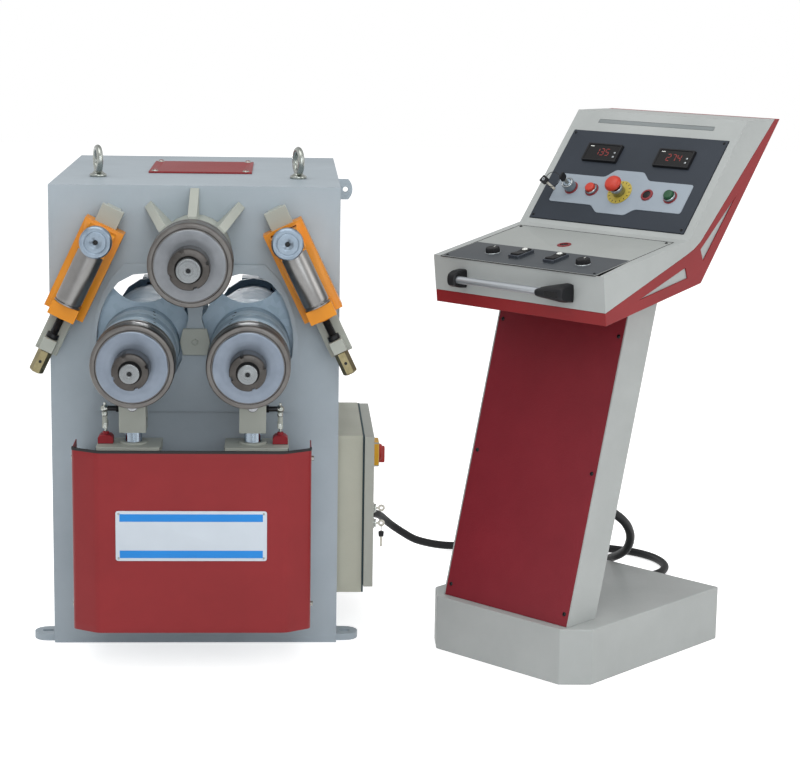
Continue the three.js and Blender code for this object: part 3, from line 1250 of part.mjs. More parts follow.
function makeStopButton() {
  const start = faceHeight + stop.collar + stop.travel + gap;
  return onPanel(turnedZ([
    [0, -controls.stemLength], [controls.stem, -controls.stemLength], [controls.stem, start],
    [stop.edge.radius, start], [stop.radius, start + stop.edge.rise], [stop.radius, start + stop.brow],
    [stop.crown.radius, start + stop.crown.rise], [0, start + stop.cap],
  ], round.shaft, controls.stopAcross, controls.at));
}

function makeKeySwitch() {
  const top = faceHeight + keySwitch.collar;
  const half = keySwitch.keyThickness / 2;
  const { keyHalf, keyLength, blade, bladeHalf } = keySwitch;
  return onPanel(join(
    barZ(keySwitch.core, -controls.stemLength, top + gap, controls.keyAcross, controls.at, round.small),
    box(controls.keyAcross - bladeHalf.across, controls.keyAcross + bladeHalf.across, controls.at - bladeHalf.up,
      controls.at + bladeHalf.up, top - sink, top + blade),
    box(controls.keyAcross - half, controls.keyAcross + half, controls.at - keyHalf, controls.at + keyHalf,
      top + blade - sink, top + blade + keyLength),
  ));
}

// Hand grip on the desk's front face
function makeGrip() {
  const [a, b] = [head.bottomFront, head.deskFront];
  const faceAt = (z) => a[0] + (z - a[1]) / (b[1] - a[1]) * (b[0] - a[0]) - gap;
  const y = faceAt(grip.height) - grip.standOff;
  const [low, high] = [grip.height - grip.bracketHeight / 2, grip.height + grip.bracketHeight / 2];
  let body = barX(grip.tube, grip.left[0] + overrun, grip.right[1] - overrun, y, grip.height, round.tiny);
  for (const [from, to] of [grip.left, grip.right]) {
    const side = outline([
      [faceAt(low), low], [faceAt(high), high], [y - grip.tube, grip.height + grip.nose],
      [y - grip.nose, grip.height], [y - grip.tube, grip.height - grip.nose],
    ]);
    body = join(body, prismX(side, from, to));
  }
  const [start, slopeTop] = [grip.right[0] - gap, grip.height + grip.taper.rise];
  const taper = outline([[start, slopeTop], [start + grip.taper.length, high + overrun], [start, high + overrun]]);
  body = cut(body, prismY(taper, y - grip.nose - overrun, faceAt(high) + overrun));
  return body.translate([head.centre, 0, 0]);
}

// One tube along the route, with its ends square to the glands
function makeCable() {
  const curve = new THREE.CatmullRomCurve3(cable.route.map((p) => new THREE.Vector3(...p)), false, 'centripetal');
  const section = new THREE.Shape();
  section.absarc(0, 0, cable.radius, 0, 2 * Math.PI, false);
  const ring = new THREE.Shape(section.getPoints(cable.halfSides).slice(0, -1));
  return solid(new THREE.ExtrudeGeometry(ring, { steps: cable.steps, extrudePath: curve, bevelEnabled: false }));
}

// Assembly

piece('casing', makeCasing(), greyPaint);
piece('rear_cover', makeRearCover(), greyPaint);
piece('cable_gland', makeCableGland(), blackPlastic);
piece('pivot_pin', makePivot(), greyPaint);
piece('upper_housing', makeUpperHousing(), greyPaint);
piece('upper_shaft', makeShaft(0, upper.height, shaft.upper), steel);
piece('upper_roll', makeRoll(0, upper.height), steel);
piece('upper_drive', makeDrive(0, upper.height), blackOxide);

for (const [name, side] of sides) {
  const [x, z] = lowerPlace(side);
  piece(`${name}_arm`, makeArm(side), paleSteel);
  piece(`${name}_shaft`, makeShaft(x, z, shaft.lower), steel);
  piece(`${name}_roll`, makeRoll(x, z), steel);
  piece(`${name}_drive`, makeDrive(x, z), blackOxide);
  piece(`${name}_cylinder`, makeCylinder(side), blackOxide);
  piece(`${name}_rod`, makeRod(side), chrome);
  piece(`${name}_fork`, makeFork(side), greyPaint);
  const slope = new THREE.Group();
  slope.position.set(side * guide.x, 0, guide.height);
  slope.rotation.y = -side * guide.tilt * degrees;
  machine.add(slope);
  piece(`${name}_rail`, makeRail(), greyPaint, slope);
  piece(`${name}_carriage`, makeCarriage(), orangePaint, slope);
  piece(`${name}_guide_roller`, makeGuideRoller(), steel, slope);
  piece(`${name}_guide_disc`, makeGuideDisc(), paleSteel, slope);
  piece(`${name}_lead_screw`, makeLeadScrew(), blackOxide, slope);
  const eye = piece(`${name}_eyebolt`, makeEyebolt(), zinc);
  eye.position.set(side * eyebolt.x, front + eyebolt.behind, 0);
  eye.rotation.z = eyebolt.turn * degrees;
}

piece('cylinder_shelf', makeShelf(), greyPaint);
piece('front_cover', makeFrontCover(), redPaint);
piece('top_plate', makeTopPlate(), redPaint);
piece('cabinet', makeCabinet(), beigePaint);
piece('cabinet_door', makeDoor(), beigePaint);
piece('main_switch_handle', makeSwitchHandle(), redPlastic);
piece('upper_door_lock', makeDoorLock(doorLock.heights[0]), chrome);
piece('lower_door_lock', makeDoorLock(doorLock.heights[1]), chrome);
piece('hydraulic_unit', makeHydraulicUnit(), darkPaint);

piece('console_base', makeBase(), greyPaint, consoleGroup);
piece('console_post', makePost(), greyPaint, consoleGroup);
piece('post_panel', makePostPanel(), redPaint, consoleGroup);
piece('console_head', makeHead(), greyPaint, consoleGroup);
piece('console_skirt', makeSkirt(), redPaint, consoleGroup);
piece('desk_panel', makeDeskPanel(), greyPaint, consoleGroup);
piece('instrument_panel', makeInstrumentPanel(), darkPaint, consoleGroup);
piece('emergency_stop', makeStopButton(), redPlastic, consoleGroup);
piece('red_button', makeButton(controls.redAcross), redPlastic, consoleGroup);
piece('green_button', makeButton(controls.greenAcross), greenPlastic, consoleGroup);
piece('key_switch', makeKeySwitch(), chrome, consoleGroup);
piece('left_knob', makeKnob(knob.across[0]), blackPlastic, consoleGroup);
piece('right_knob', makeKnob(knob.across[1]), blackPlastic, consoleGroup);
piece('left_rocker', makeRocker(rocker.across[0]), blackPlastic, consoleGroup);
piece('right_rocker', makeRocker(rocker.across[1]), blackPlastic, consoleGroup);
piece('grip', makeGrip(), blackPlastic, consoleGroup);
piece('control_cable', makeCable(), blackPlastic);

export default machine;
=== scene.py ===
import json
import math

import bmesh
import bpy
import numpy as np
from mathutils import Matrix


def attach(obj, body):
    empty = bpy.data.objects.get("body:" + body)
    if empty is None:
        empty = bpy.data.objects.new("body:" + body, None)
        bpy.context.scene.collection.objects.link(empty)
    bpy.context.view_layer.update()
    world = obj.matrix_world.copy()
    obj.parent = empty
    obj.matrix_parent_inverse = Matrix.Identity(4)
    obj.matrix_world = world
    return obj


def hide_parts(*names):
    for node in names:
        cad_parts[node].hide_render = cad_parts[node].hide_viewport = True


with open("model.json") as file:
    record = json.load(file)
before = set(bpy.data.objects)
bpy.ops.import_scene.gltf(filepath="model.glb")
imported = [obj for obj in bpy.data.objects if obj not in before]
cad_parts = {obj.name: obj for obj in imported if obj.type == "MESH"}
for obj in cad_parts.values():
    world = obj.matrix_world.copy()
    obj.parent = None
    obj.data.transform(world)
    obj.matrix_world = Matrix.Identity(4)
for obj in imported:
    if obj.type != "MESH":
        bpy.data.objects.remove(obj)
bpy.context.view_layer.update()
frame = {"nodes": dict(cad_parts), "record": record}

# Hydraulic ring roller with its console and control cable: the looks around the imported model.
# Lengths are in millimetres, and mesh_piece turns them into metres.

METRES = 0.001

# Driving sizes and places of the machine

FRONT = -382.5
BACK = 382.5
CASING_HEIGHT = 1027
SIDES = (("left", -1), ("right", 1))
PIVOT_HEIGHT = 687.5
UPPER = (0, 886)
SHIELD = {"radius": 150, "swing": math.radians(34.9), "housing": 82, "drum": 90, "pin": 20,
          "behind": {"left": -26, "right": -32}}
ARM = {"radius": 121, "rest": math.radians(-6.7), "drum": 86, "end": 150}
ROLL = {"radius": 88.5, "back": 165, "ring": 246, "face": 250, "disc": 75, "groove": 195, "bore": 30.4}
NUT = {"back": 250.3, "notch": 8.5, "depth": 4.2}
SHAFT_END = 326
UPPER_SHAFT = {"end": 25, "nut": 43}
LOWER_SHAFT = {"end": 20.5, "nut": 38.5}
CYLINDER = {"x": 128, "ahead": 110, "flange": 484}
SENSOR = {"offset": 59, "width": 32, "depth": 30, "top": 503}
ROD = {"radius": 18.3, "piston": 31.7, "bottom": 215, "top": 511.7}
FORK = {"depth": 64, "pin": 570}
LINK = {"height": 564, "ball": 8.6, "stud": 5.6}
COVER = {"face": 200, "wide": 254, "ahead": 215, "corner": 183, "side": 92, "bend": 9, "sheet": 3,
         "bottom": 90, "top": 487, "screws": 128, "screw_heights": (130, 455)}
NAMEPLATE = {"half": 160, "low": 250, "high": 359, "thickness": 2, "edge": 6.5, "band": 16.5}
GUIDE = {"x": 234, "height": 851, "tilt": math.radians(25.5)}
CARRIAGE = {"upper": 50, "lower": -75, "upper_ahead": 140}
ROLLER = {"ahead": 111.5, "radius": 28.5, "collar": 29}
FACE_ROLLER = {"at": 78, "radius": 34, "thickness": 23}
SCREW = {"ahead": 73, "radius": 9, "thrust_top": -162, "thrust_low": -190, "hex_low": -243, "hex": 16,
         "top": -45}
EYEBOLT = {"x": 224, "behind": 195, "ring": 26, "wire": 7, "turn": math.radians(15)}
TOP_PLATE = {"half": 118, "from": 290, "to": 572, "top": 1031.3, "inset": 14}
DOOR_FACE = 397
CABINET = {"outer": 372, "from": 48, "to": 428, "bottom": 103, "top": 467}
MAIN_SWITCH = {"behind": 180, "height": 400, "plate": 56}
LOCK = {"behind": 62, "heights": {"upper": 297, "lower": 262}, "radius": 12.5, "barrel": 7, "bow": 19,
        "thick": 2.5}
REAR_COVER = {"across": 280, "heights": (45, 280, 520), "face": BACK + 4.3}
WALL_GLAND = {"radius": 17, "nut": 12, "neck": 13, "length": 28, "place": (315.3, 217.5, 150)}

# Driving sizes and places of the console

CONSOLE = {"x": 678.5, "ahead": 190.9, "turn": math.radians(45.9)}
HEAD = {"centre": 10, "front": (-11.5, 888), "fold": (279, 939), "top": (480, 1183.5)}
POST = {"centre": -24, "half": 176, "front": 20.4, "lean": math.radians(15.1), "foot": 123, "panel": 640}
DESK = {"half": 208, "from": 1, "to": 268, "strip": 118, "lamp": (-4, 168)}
PANEL = {"half": 211, "from": 14, "to": 259, "top": 2.3}
BUTTON_ROW = 100
PLATE_TOP = 3.8
METER = {"across": 98, "at": 199, "half": 48, "tall": 24, "proud": 9.3}
KNOB = {"across": (-115, 130), "at": 62, "radius": 15, "height": 12}
ROCKER = {"across": (-36, 58), "at": 62, "half": 15, "long": 27}
GRIP = {"left": (-160, -138), "right": (80, 152), "height": 845, "off": 30, "tube": 8, "taper": 55, "rise": 8}
POST_GLAND = {"radius": 17, "nut": 14, "neck": 13, "length": 26, "place": (57, 174.6, 335)}

CABLE_RADIUS = 10
# Places in metres: the cable lies on the floor round the console, and climbs to its two glands
CABLE_ROUTE = [
    (0.3436, 0.2175, 0.15), (0.361, 0.2175, 0.15), (0.385, 0.221, 0.1485), (0.409, 0.234, 0.144),
    (0.428, 0.257, 0.136), (0.442, 0.288, 0.123), (0.456, 0.32, 0.104), (0.476, 0.346, 0.082),
    (0.504, 0.36, 0.06), (0.536, 0.371, 0.039), (0.574, 0.383, 0.025), (0.62, 0.396, 0.015),
    (0.675, 0.411, 0.0108), (0.745, 0.425, 0.0103), (0.85, 0.43, 0.0103), (0.95, 0.414, 0.0103),
    (1.046, 0.385, 0.0103), (1.115, 0.345, 0.0103), (1.158, 0.285, 0.0103), (1.168, 0.21, 0.0103),
    (1.136, 0.143, 0.0103), (1.076, 0.109, 0.012), (1.015, 0.096, 0.022), (0.969, 0.062, 0.042),
    (0.952, 0.008, 0.068), (0.961, -0.052, 0.097), (0.978, -0.114, 0.124), (0.99, -0.18, 0.153),
    (0.993, -0.25, 0.188), (0.986, -0.318, 0.234), (0.965, -0.374, 0.276), (0.936, -0.411, 0.306),
    (0.906, -0.436, 0.327), (0.888, -0.4502, 0.3335), (0.874, -0.4634, 0.335), (0.8627, -0.4743, 0.335),
]

# Local frames: three unit directions as columns, then the origin, in millimetres


def frame_at(origin, across, up):
    """Directions across, up and their cross product (which points out), and the origin, as a 3 x 4 array."""
    a, b = np.array(across, float), np.array(up, float)
    return np.column_stack([a, b, np.cross(a, b), np.array(origin, float)])


def inside_of(parent, origin, across, up):
    """A frame given by its origin and two directions inside another frame."""
    inner = frame_at(origin, across, up)
    given = parent[:, :3] @ inner
    given[:, 3] += parent[:, 3]
    return given


def placed(points, local):
    """Each point is origin + a * first direction + b * second + c * third."""
    return points @ local[:, :3].T + local[:, 3]


def lower_place(side):
    """Centre of a lower spindle: on a circle about the pivot, at the arm's resting angle."""
    return side * ARM["radius"] * math.cos(ARM["rest"]), PIVOT_HEIGHT + ARM["radius"] * math.sin(ARM["rest"])


X, Y, Z = np.eye(3)
MACHINE = frame_at((0, 0, 0), X, Y)


def ahead_frame(x, z):
    """X across, Z up, and the third direction forwards out of the front plate."""
    return frame_at((x, FRONT, z), X, Z)


def slope_axes(side):
    """The two directions of a guide's slope: across it and up it, leaning towards the middle."""
    turn = -side * GUIDE["tilt"]
    across = np.array([math.cos(turn), 0, -math.sin(turn)])
    return across, np.array([math.sin(turn), 0, math.cos(turn)])


def slope_front(side):
    """Across the slope, up the slope, and forwards."""
    across, up = slope_axes(side)
    return frame_at((side * GUIDE["x"], FRONT, GUIDE["height"]), across, up)


def slope_axis(side, ahead):
    """Across the slope, backwards, and up the slope: the frame of what turns about a line up the slope."""
    across, _ = slope_axes(side)
    return frame_at((side * GUIDE["x"], FRONT - ahead, GUIDE["height"]), across, Y)


TURN = CONSOLE["turn"]
ACROSS = np.array([math.cos(TURN), -math.sin(TURN), 0])
BACKWARDS = np.array([math.sin(TURN), math.cos(TURN), 0])
STAND = frame_at((CONSOLE["x"], FRONT - CONSOLE["ahead"], 0), ACROSS, BACKWARDS)


def slope_of_head(start, end):
    """Across the head, up the slope between two points of its side view, and out of the slope."""
    rise, run = end[1] - start[1], end[0] - start[0]
    length = math.hypot(rise, run)
    return inside_of(STAND, (HEAD["centre"], start[0], start[1]), X, (0, run / length, rise / length))


ON_DESK = slope_of_head(HEAD["front"], HEAD["fold"])
ON_PANEL = slope_of_head(HEAD["fold"], HEAD["top"])
POST_FACE = inside_of(STAND, (POST["centre"], POST["front"], POST["foot"]), X,
                      (0, math.sin(POST["lean"]), math.cos(POST["lean"])))

# Surfaces as whole arrays


def eased(points, radius, steps=5, closed=True):
    """Each corner becomes a quadratic curve: (1-t)^2 * before + 2t(1-t) * corner + t^2 * after,
    where before and after lie on its two sides, a radius away or at most 0.45 of the side."""
    p = np.array(points, float)
    radii = np.broadcast_to(np.asarray(radius, float), len(p))[:, None]
    ways = np.roll(p, 1, 0) - p, np.roll(p, -1, 0) - p
    lengths = [np.linalg.norm(way, axis=1, keepdims=True) for way in ways]
    start, end = (p + way / size * np.minimum(radii, 0.45 * size) for way, size in zip(ways, lengths))
    t = np.linspace(0, 1, steps)[None, :, None]
    curve = (1 - t) ** 2 * start[:, None] + 2 * t * (1 - t) * p[:, None] + t ** 2 * end[:, None]
    if closed:
        return curve.reshape(-1, p.shape[1])
    return np.vstack([p[:1], curve[1:-1].reshape(-1, p.shape[1]), p[-1:]])


def grid_faces(rows, columns, loop_rows=False, loop_columns=True):
    """Four-sided faces between neighbouring rows and columns of a grid, wrapped round where it loops."""
    i = np.arange(rows if loop_rows else rows - 1)[:, None]
    j = np.arange(columns if loop_columns else columns - 1)[None, :]
    below, beside = (i + 1) % rows, (j + 1) % columns
    corners = (i * columns + j, below * columns + j, below * columns + beside, i * columns + beside)
    return np.stack(np.broadcast_arrays(*corners), axis=-1).reshape(-1, 4).tolist()


def capped(grid):
    """Rings of equal counts, each joined to the next point by point, with both ends capped."""
    rows, count = grid.shape[:2]
    last = (rows - 1) * count
    caps = [list(range(count))[::-1], list(range(last, last + count))]
    return grid.reshape(-1, 3), grid_faces(rows, count) + caps


def round_angles(count):
    """Equal steps once round, from 0."""
    return np.linspace(0, 2 * math.pi, count, endpoint=False)


def spun(reach, heights, angles):
    """A grid of points (reach cos a, reach sin a, height): a row for each height, a column for each angle."""
    return np.stack(np.broadcast_arrays(reach * np.cos(angles), reach * np.sin(angles), heights), axis=-1)


ON_AXIS = 1e-9


def turned(profile, segments):
    """A lathe surface from profile points (radius, height). A profile that starts on the axis ends there
    too; any other is closed on itself."""
    p = np.array(profile, float)
    grid = spun(p[:, :1], p[:, 1:], round_angles(segments))
    return grid.reshape(-1, 3), grid_faces(len(p), segments, p[0, 0] > ON_AXIS)


def lathed(profile, radius, steps, segments):
    """A lathe surface whose corners are eased first."""
    return turned(eased(profile, radius, steps, profile[0][0] > ON_AXIS), segments)


def plug(radius, low, high, segments):
    """A plain cylinder between two heights."""
    return turned([(0, low), (radius, low), (radius, high), (0, high)], segments)


def knurled(profile, inner, band, depth, waves, segments):
    """A lathe surface whose flank waves: its radius is r + depth * share * cos(waves * a), where the share
    grows from 0 at the inner radius to 1 a band further out."""
    a = round_angles(segments)
    share = np.clip((profile[:, :1] - inner) / band, 0, 1)
    grid = spun(profile[:, :1] + depth * share * np.cos(waves * a), profile[:, 1:], a)
    return grid.reshape(-1, 3), grid_faces(len(profile), segments)


def outset(outline, distance):
    """Each corner of an anticlockwise outline moves out along both its sides' normals:
    p + d (n1 + n2) / (1 + n1.n2)."""
    edge = np.roll(outline, -1, 0) - outline
    length = np.maximum(np.linalg.norm(edge, axis=1, keepdims=True), 1e-9)
    normal = np.stack([edge[:, 1], -edge[:, 0]], 1) / length
    before = np.roll(normal, 1, 0)
    share = 1 + np.sum(before * normal, axis=1, keepdims=True)
    return outline + distance * (before + normal) / np.maximum(share, 0.2)


def at_height(outline, height):
    """A flat outline's points, all at one height."""
    return np.column_stack([outline, np.full(len(outline), float(height))])


def slab(outline, rims):
    """A flat body: an outline moved out by each rim's distance at each rim's height, both ends capped."""
    flat = np.array(outline, float)
    area = np.sum(flat[:, 0] * np.roll(flat[:, 1], -1) - flat[:, 1] * np.roll(flat[:, 0], -1))
    flat = flat if area > 0 else flat[::-1]
    return capped(np.array([at_height(outset(flat, out), height) for out, height in rims]))


def rimmed(bottom, top, edge):
    """Rims of a slab whose top edge is rounded: a quarter circle of the edge's radius."""
    t = np.linspace(0, math.pi / 2, 4)
    return [(0, bottom), *zip(-edge * (1 - np.cos(t)), top - edge * (1 - np.sin(t)))]


def chamfered(outline, low, high, edge):
    """A flat body between two heights, both of whose rims are broken at 45 degrees."""
    return slab(outline, [(-edge, low), (0, low + edge), (0, high - edge), (-edge, high)])


def stacked(rings):
    """Flat rings of equal counts at their heights, joined one to the next, and the last to the first."""
    points = np.vstack([at_height(ring, height) for ring, height in rings])
    return points, grid_faces(len(rings), len(rings[0][0]), True)


def rectangle(x0, x1, y0, y1, radius):
    """An anticlockwise rectangle with eased corners."""
    return eased([(x0, y0), (x1, y0), (x1, y1), (x0, y1)], radius)


def circle(radius, sides, start=0):
    """Points on a circle at equal steps: (radius cos a, radius sin a)."""
    a = round_angles(sides) + start
    return np.column_stack([radius * np.cos(a), radius * np.sin(a)])


def swept(section, path, up):
    """A closed section carried along a path: each place is path + a * (direction x up) + b * up."""
    s, p = np.array(section, float), np.array(path, float)
    way = np.gradient(p, axis=0)
    way /= np.linalg.norm(way, axis=1, keepdims=True)
    side = np.cross(way, up)
    side /= np.linalg.norm(side, axis=1, keepdims=True)
    high = np.cross(side, way)
    return capped(p[:, None] + s[None, :, :1] * side[:, None] + s[None, :, 1:2] * high[:, None])


def ring_surface(ring, wire, around=72, across=20):
    """A torus: ((ring + wire cos b) cos a, (ring + wire cos b) sin a, wire sin b)."""
    a, b = round_angles(around)[:, None], round_angles(across)
    return spun(ring + wire * np.cos(b), wire * np.sin(b), a).reshape(-1, 3), grid_faces(around, across, True)


def together(*shapes):
    """Several shapes as one: the faces of each are counted on from the points before it."""
    starts = np.cumsum([0, *(len(points) for points, _ in shapes[:-1])])
    faces = [[int(i + start) for i in face] for (_, own), start in zip(shapes, starts) for face in own]
    return np.vstack([points for points, _ in shapes]), faces


def shifted(shape, x=0, y=0, z=0):
    """A shape moved along its frame's three directions."""
    return shape[0] + np.array([x, y, z], float), shape[1]


def moved(shape, local):
    """A shape drawn in a local frame, given in the frame round it."""
    return placed(shape[0], local), shape[1]


SHARP = math.radians(32)


def mesh_piece(name, shape, local, finish, body="frame", replaces=()):
    """A piece of the object: its points placed in the row's frame in metres, its doubles merged, its faces
    turned outwards."""
    points, faces = shape
    mesh = bpy.data.meshes.new(name)
    mesh.from_pydata((placed(points, local) * METRES).tolist(), [], faces)
    shell = bmesh.new()
    shell.from_mesh(mesh)
    bmesh.ops.remove_doubles(shell, verts=shell.verts, dist=2e-6)
    bmesh.ops.recalc_face_normals(shell, faces=shell.faces)
    shell.to_mesh(mesh)
    shell.free()
    return dressed(bpy.data.objects.new(name, mesh), body, finish, SHARP, replaces)


def dressed(piece, body, finish, sharp, replaces):
    """A piece in the scene, smooth up to an angle, with its material, body and the solid it replaces."""
    bpy.context.scene.collection.objects.link(piece)
    if piece.type == "MESH":
        piece.data.shade_smooth()
        piece.data.set_sharp_from_angle(angle=sharp)
    material, slot = finish
    piece.data.materials.clear()
    piece.data.materials.append(material)
    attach(piece, body)
    if replaces:
        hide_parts(*replaces)
    return piece


BODY_OF = {node: body for body, nodes in frame["record"]["behaviour"]["bodies"].items() for node in nodes}
FLAT = math.radians(1)
BEND = math.radians(28)


def add_bevel(piece, width, segments, angle):
    """Edges sharper than an angle are broken by a bevel of a width in millimetres."""
    bevel = piece.modifiers.new("edges", "BEVEL")
    bevel.width = width * METRES
    bevel.segments = segments
    bevel.limit_method = "ANGLE"
    bevel.angle_limit = angle
    return bevel


def softened(node, finish, radius, segments=2):
    """A merged copy of a solid, whose edges are broken by a small bevel, in place of the solid."""
    mesh = frame["nodes"][node].data.copy()
    shell = bmesh.new()
    shell.from_mesh(mesh)
    bmesh.ops.remove_doubles(shell, verts=shell.verts, dist=5e-6)
    bmesh.ops.dissolve_limit(shell, angle_limit=FLAT, verts=shell.verts, edges=shell.edges)
    wide = [face for face in shell.faces if len(face.verts) > 4]
    bmesh.ops.triangulate(shell, faces=wide, quad_method="BEAUTY", ngon_method="EAR_CLIP")
    shell.to_mesh(mesh)
    shell.free()
    piece = dressed(bpy.data.objects.new(node + "_finished", mesh), BODY_OF[node], finish, BEND, (node,))
    bevel = add_bevel(piece, radius, segments, BEND)
    bevel.use_clamp_overlap = True
    bevel.harden_normals = True


# Finishes


def linear(colour):
    """sRGB written as #rrggbb, each share s turned to ((s + 0.055) / 1.055) ^ 2.4, or s / 12.92 near black."""
    s = np.array([int(colour[i:i + 2], 16) for i in (1, 3, 5)]) / 255
    return (*np.where(s <= 0.04045, s / 12.92, ((s + 0.055) / 1.055) ** 2.4), 1.0)


def add(tree, kind, settings=None, links=None, **properties):
    """A node with its properties, the values of its sockets, and what is linked to them."""
    node = tree.nodes.new("ShaderNode" + kind)
    for key, value in properties.items():
        setattr(node, key, value)
    for key, value in (settings or {}).items():
        node.inputs[key].default_value = value
    for key, source in (links or {}).items():
        tree.links.new(source, node.inputs[key])
    return node


def begun(name, colour, roughness, metallic=0.0):
    """A new material, its node tree, its shader with three plain values, and the object coordinates."""
    material = bpy.data.materials.new(name)
    material.use_nodes = True
    tree = material.node_tree
    shader = tree.nodes["Principled BSDF"]
    shader.inputs["Base Color"].default_value = linear(colour)
    shader.inputs["Roughness"].default_value = roughness
    shader.inputs["Metallic"].default_value = metallic
    places = add(tree, "TexCoord").outputs["Object"]
    return material, tree, shader, places


def two_toned(tree, shader, colours, share):
    """Colour between two tones, by a share from 0 to 1."""
    tones = add(tree, "Mix", {6: linear(colours[0]), 7: linear(colours[1])}, {0: share}, data_type="RGBA")
    tree.links.new(tones.outputs[2], shader.inputs["Base Color"])


def mottled(tree, shader, places, colours, patch):
    """Colour that drifts between two tones over patches of a size in millimetres."""
    drift = add(tree, "TexNoise", {"Scale": 1 / (patch * METRES), "Detail": 4.0, "Roughness": 0.6},
                {"Vector": places})
    spread = add(tree, "MapRange", {"From Min": 0.325, "From Max": 0.675}, {"Value": drift.outputs["Fac"]})
    two_toned(tree, shader, colours, spread.outputs["Result"])


def bumped(tree, shader, height, depth, strength=1.0):
    """Relief of a depth in millimetres."""
    bump = add(tree, "Bump", {"Strength": strength, "Distance": depth * METRES}, {"Height": height})
    tree.links.new(bump.outputs["Normal"], shader.inputs["Normal"])


def glossed(tree, shader, share, roughness, less, more):
    """Roughness that a share from 0 to 1 moves from a little less to a little more than its value."""
    gloss = add(tree, "MapRange", {"To Min": roughness - less, "To Max": roughness + more}, {"Value": share})
    tree.links.new(gloss.outputs["Result"], shader.inputs["Roughness"])


def powder_coat(name, colours, roughness, slot, grain=5.0, depth=0.12, shine=0.4):
    """Polyester powder, sprayed on sheet steel and baked: a satin skin with fine orange peel and soft
    highlights. Its peel is about 1 mm from crest to crest, and is drawn coarser so that it shows."""
    material, tree, shader, places = begun(name, colours[0], roughness)
    shader.inputs["Specular IOR Level"].default_value = shine
    mottled(tree, shader, places, colours, 160)
    peel = add(tree, "TexNoise", {"Scale": 1 / (grain * METRES), "Detail": 3.0}, {"Vector": places})
    bumped(tree, shader, peel.outputs["Fac"], depth)
    glossed(tree, shader, peel.outputs["Fac"], roughness, 0.05, 0.06)
    return material, slot


def lathe_turned(name, colours, roughness, centre, pitch=3.0):
    """Carbon steel turned on a lathe under a thin oil film: fine circles about its axis, and a grey-brown
    tone that drifts. The feed marks are about 0.3 mm apart, and are drawn coarser so that they show."""
    material, tree, shader, places = begun(name, colours[0], roughness, 1.0)
    mottled(tree, shader, places, colours, 45)
    x, z = centre
    centred = add(tree, "Mapping", {"Location": (-x * METRES, 0, -z * METRES)}, {"Vector": places})
    circles = add(tree, "TexWave", {"Scale": 1 / (pitch * METRES) / 20, "Distortion": 0.6, "Detail": 2.0,
                                    "Detail Scale": 3.0}, {"Vector": centred.outputs["Vector"]},
                  wave_type="RINGS", rings_direction="Y")
    bumped(tree, shader, circles.outputs["Fac"], 0.05, 0.5)
    glossed(tree, shader, circles.outputs["Fac"], roughness, 0.06, 0.08)
    return material, "machined_steel"


def plain_metal(name, colours, roughness, slot, patch=30, depth=0.03, metallic=1.0):
    """A metal with a fine, even surface that drifts a little in tone, ground, plated or blackened. Its
    grain is much finer than the 2 mm at which it is drawn so that it shows."""
    material, tree, shader, places = begun(name, colours[0], roughness, metallic)
    mottled(tree, shader, places, colours, patch)
    fine = add(tree, "TexNoise", {"Scale": 1 / (2 * METRES), "Detail": 2.0}, {"Vector": places})
    bumped(tree, shader, fine.outputs["Fac"], depth, 0.6)
    glossed(tree, shader, fine.outputs["Fac"], roughness, 0.05, 0.07)
    return material, slot


def galvanised(name, colours, roughness, slot):
    """Steel dipped in zinc: the spangle, blue-grey crystals of about 14 mm, each with its own tone and
    gloss."""
    material, tree, shader, places = begun(name, colours[0], roughness, 0.12)
    cells = add(tree, "TexVoronoi", {"Scale": 1 / (14 * METRES)}, {"Vector": places})
    share = add(tree, "SeparateColor", links={"Color": cells.outputs["Color"]})
    two_toned(tree, shader, colours, share.outputs["Red"])
    glossed(tree, shader, share.outputs["Green"], roughness, 0.06, 0.08)
    fine = add(tree, "TexNoise", {"Scale": 1 / (6 * METRES), "Detail": 3.0}, {"Vector": places})
    bumped(tree, shader, fine.outputs["Fac"], 0.08, 0.6)
    return material, slot


def moulded(name, colour, roughness, slot, grain=1.6, depth=0.04, shine=0.4):
    """Moulded plastic: an even colour under a dull skin with the mould's spark-eroded grain."""
    material, tree, shader, places = begun(name, colour, roughness)
    shader.inputs["Specular IOR Level"].default_value = shine
    skin = add(tree, "TexNoise", {"Scale": 1 / (grain * METRES), "Detail": 2.0}, {"Vector": places})
    bumped(tree, shader, skin.outputs["Fac"], depth, 0.7)
    glossed(tree, shader, skin.outputs["Fac"], roughness, 0.06, 0.06)
    return material, slot


def brushed(name, colours, roughness, slot):
    """Anodised aluminium, brushed one way: long faint lines, drawn coarser than their 0.1 mm so that they
    show."""
    material, tree, shader, places = begun(name, colours[0], roughness, 0.9)
    along, between = 60.0, 1.5
    drawn = add(tree, "Mapping", {"Rotation": (0, 0, TURN), "Scale": (1 / along, 1 / between, 1 / between)},
                {"Vector": places})
    lines = add(tree, "TexNoise", {"Scale": 1 / METRES, "Detail": 2.0}, {"Vector": drawn.outputs["Vector"]})
    two_toned(tree, shader, colours, lines.outputs["Fac"])
    glossed(tree, shader, lines.outputs["Fac"], roughness, 0.05, 0.1)
    return material, slot


def lit(name, colour, strength, slot):
    """Light-emitting segments behind a tinted window: they glow a little, unevenly."""
    material, tree, shader, places = begun(name, colour, 0.4)
    shader.inputs["Emission Color"].default_value = linear(colour)
    shader.inputs["Emission Strength"].default_value = strength
    mottled(tree, shader, places, (colour, colour), 3)
    return material, slot


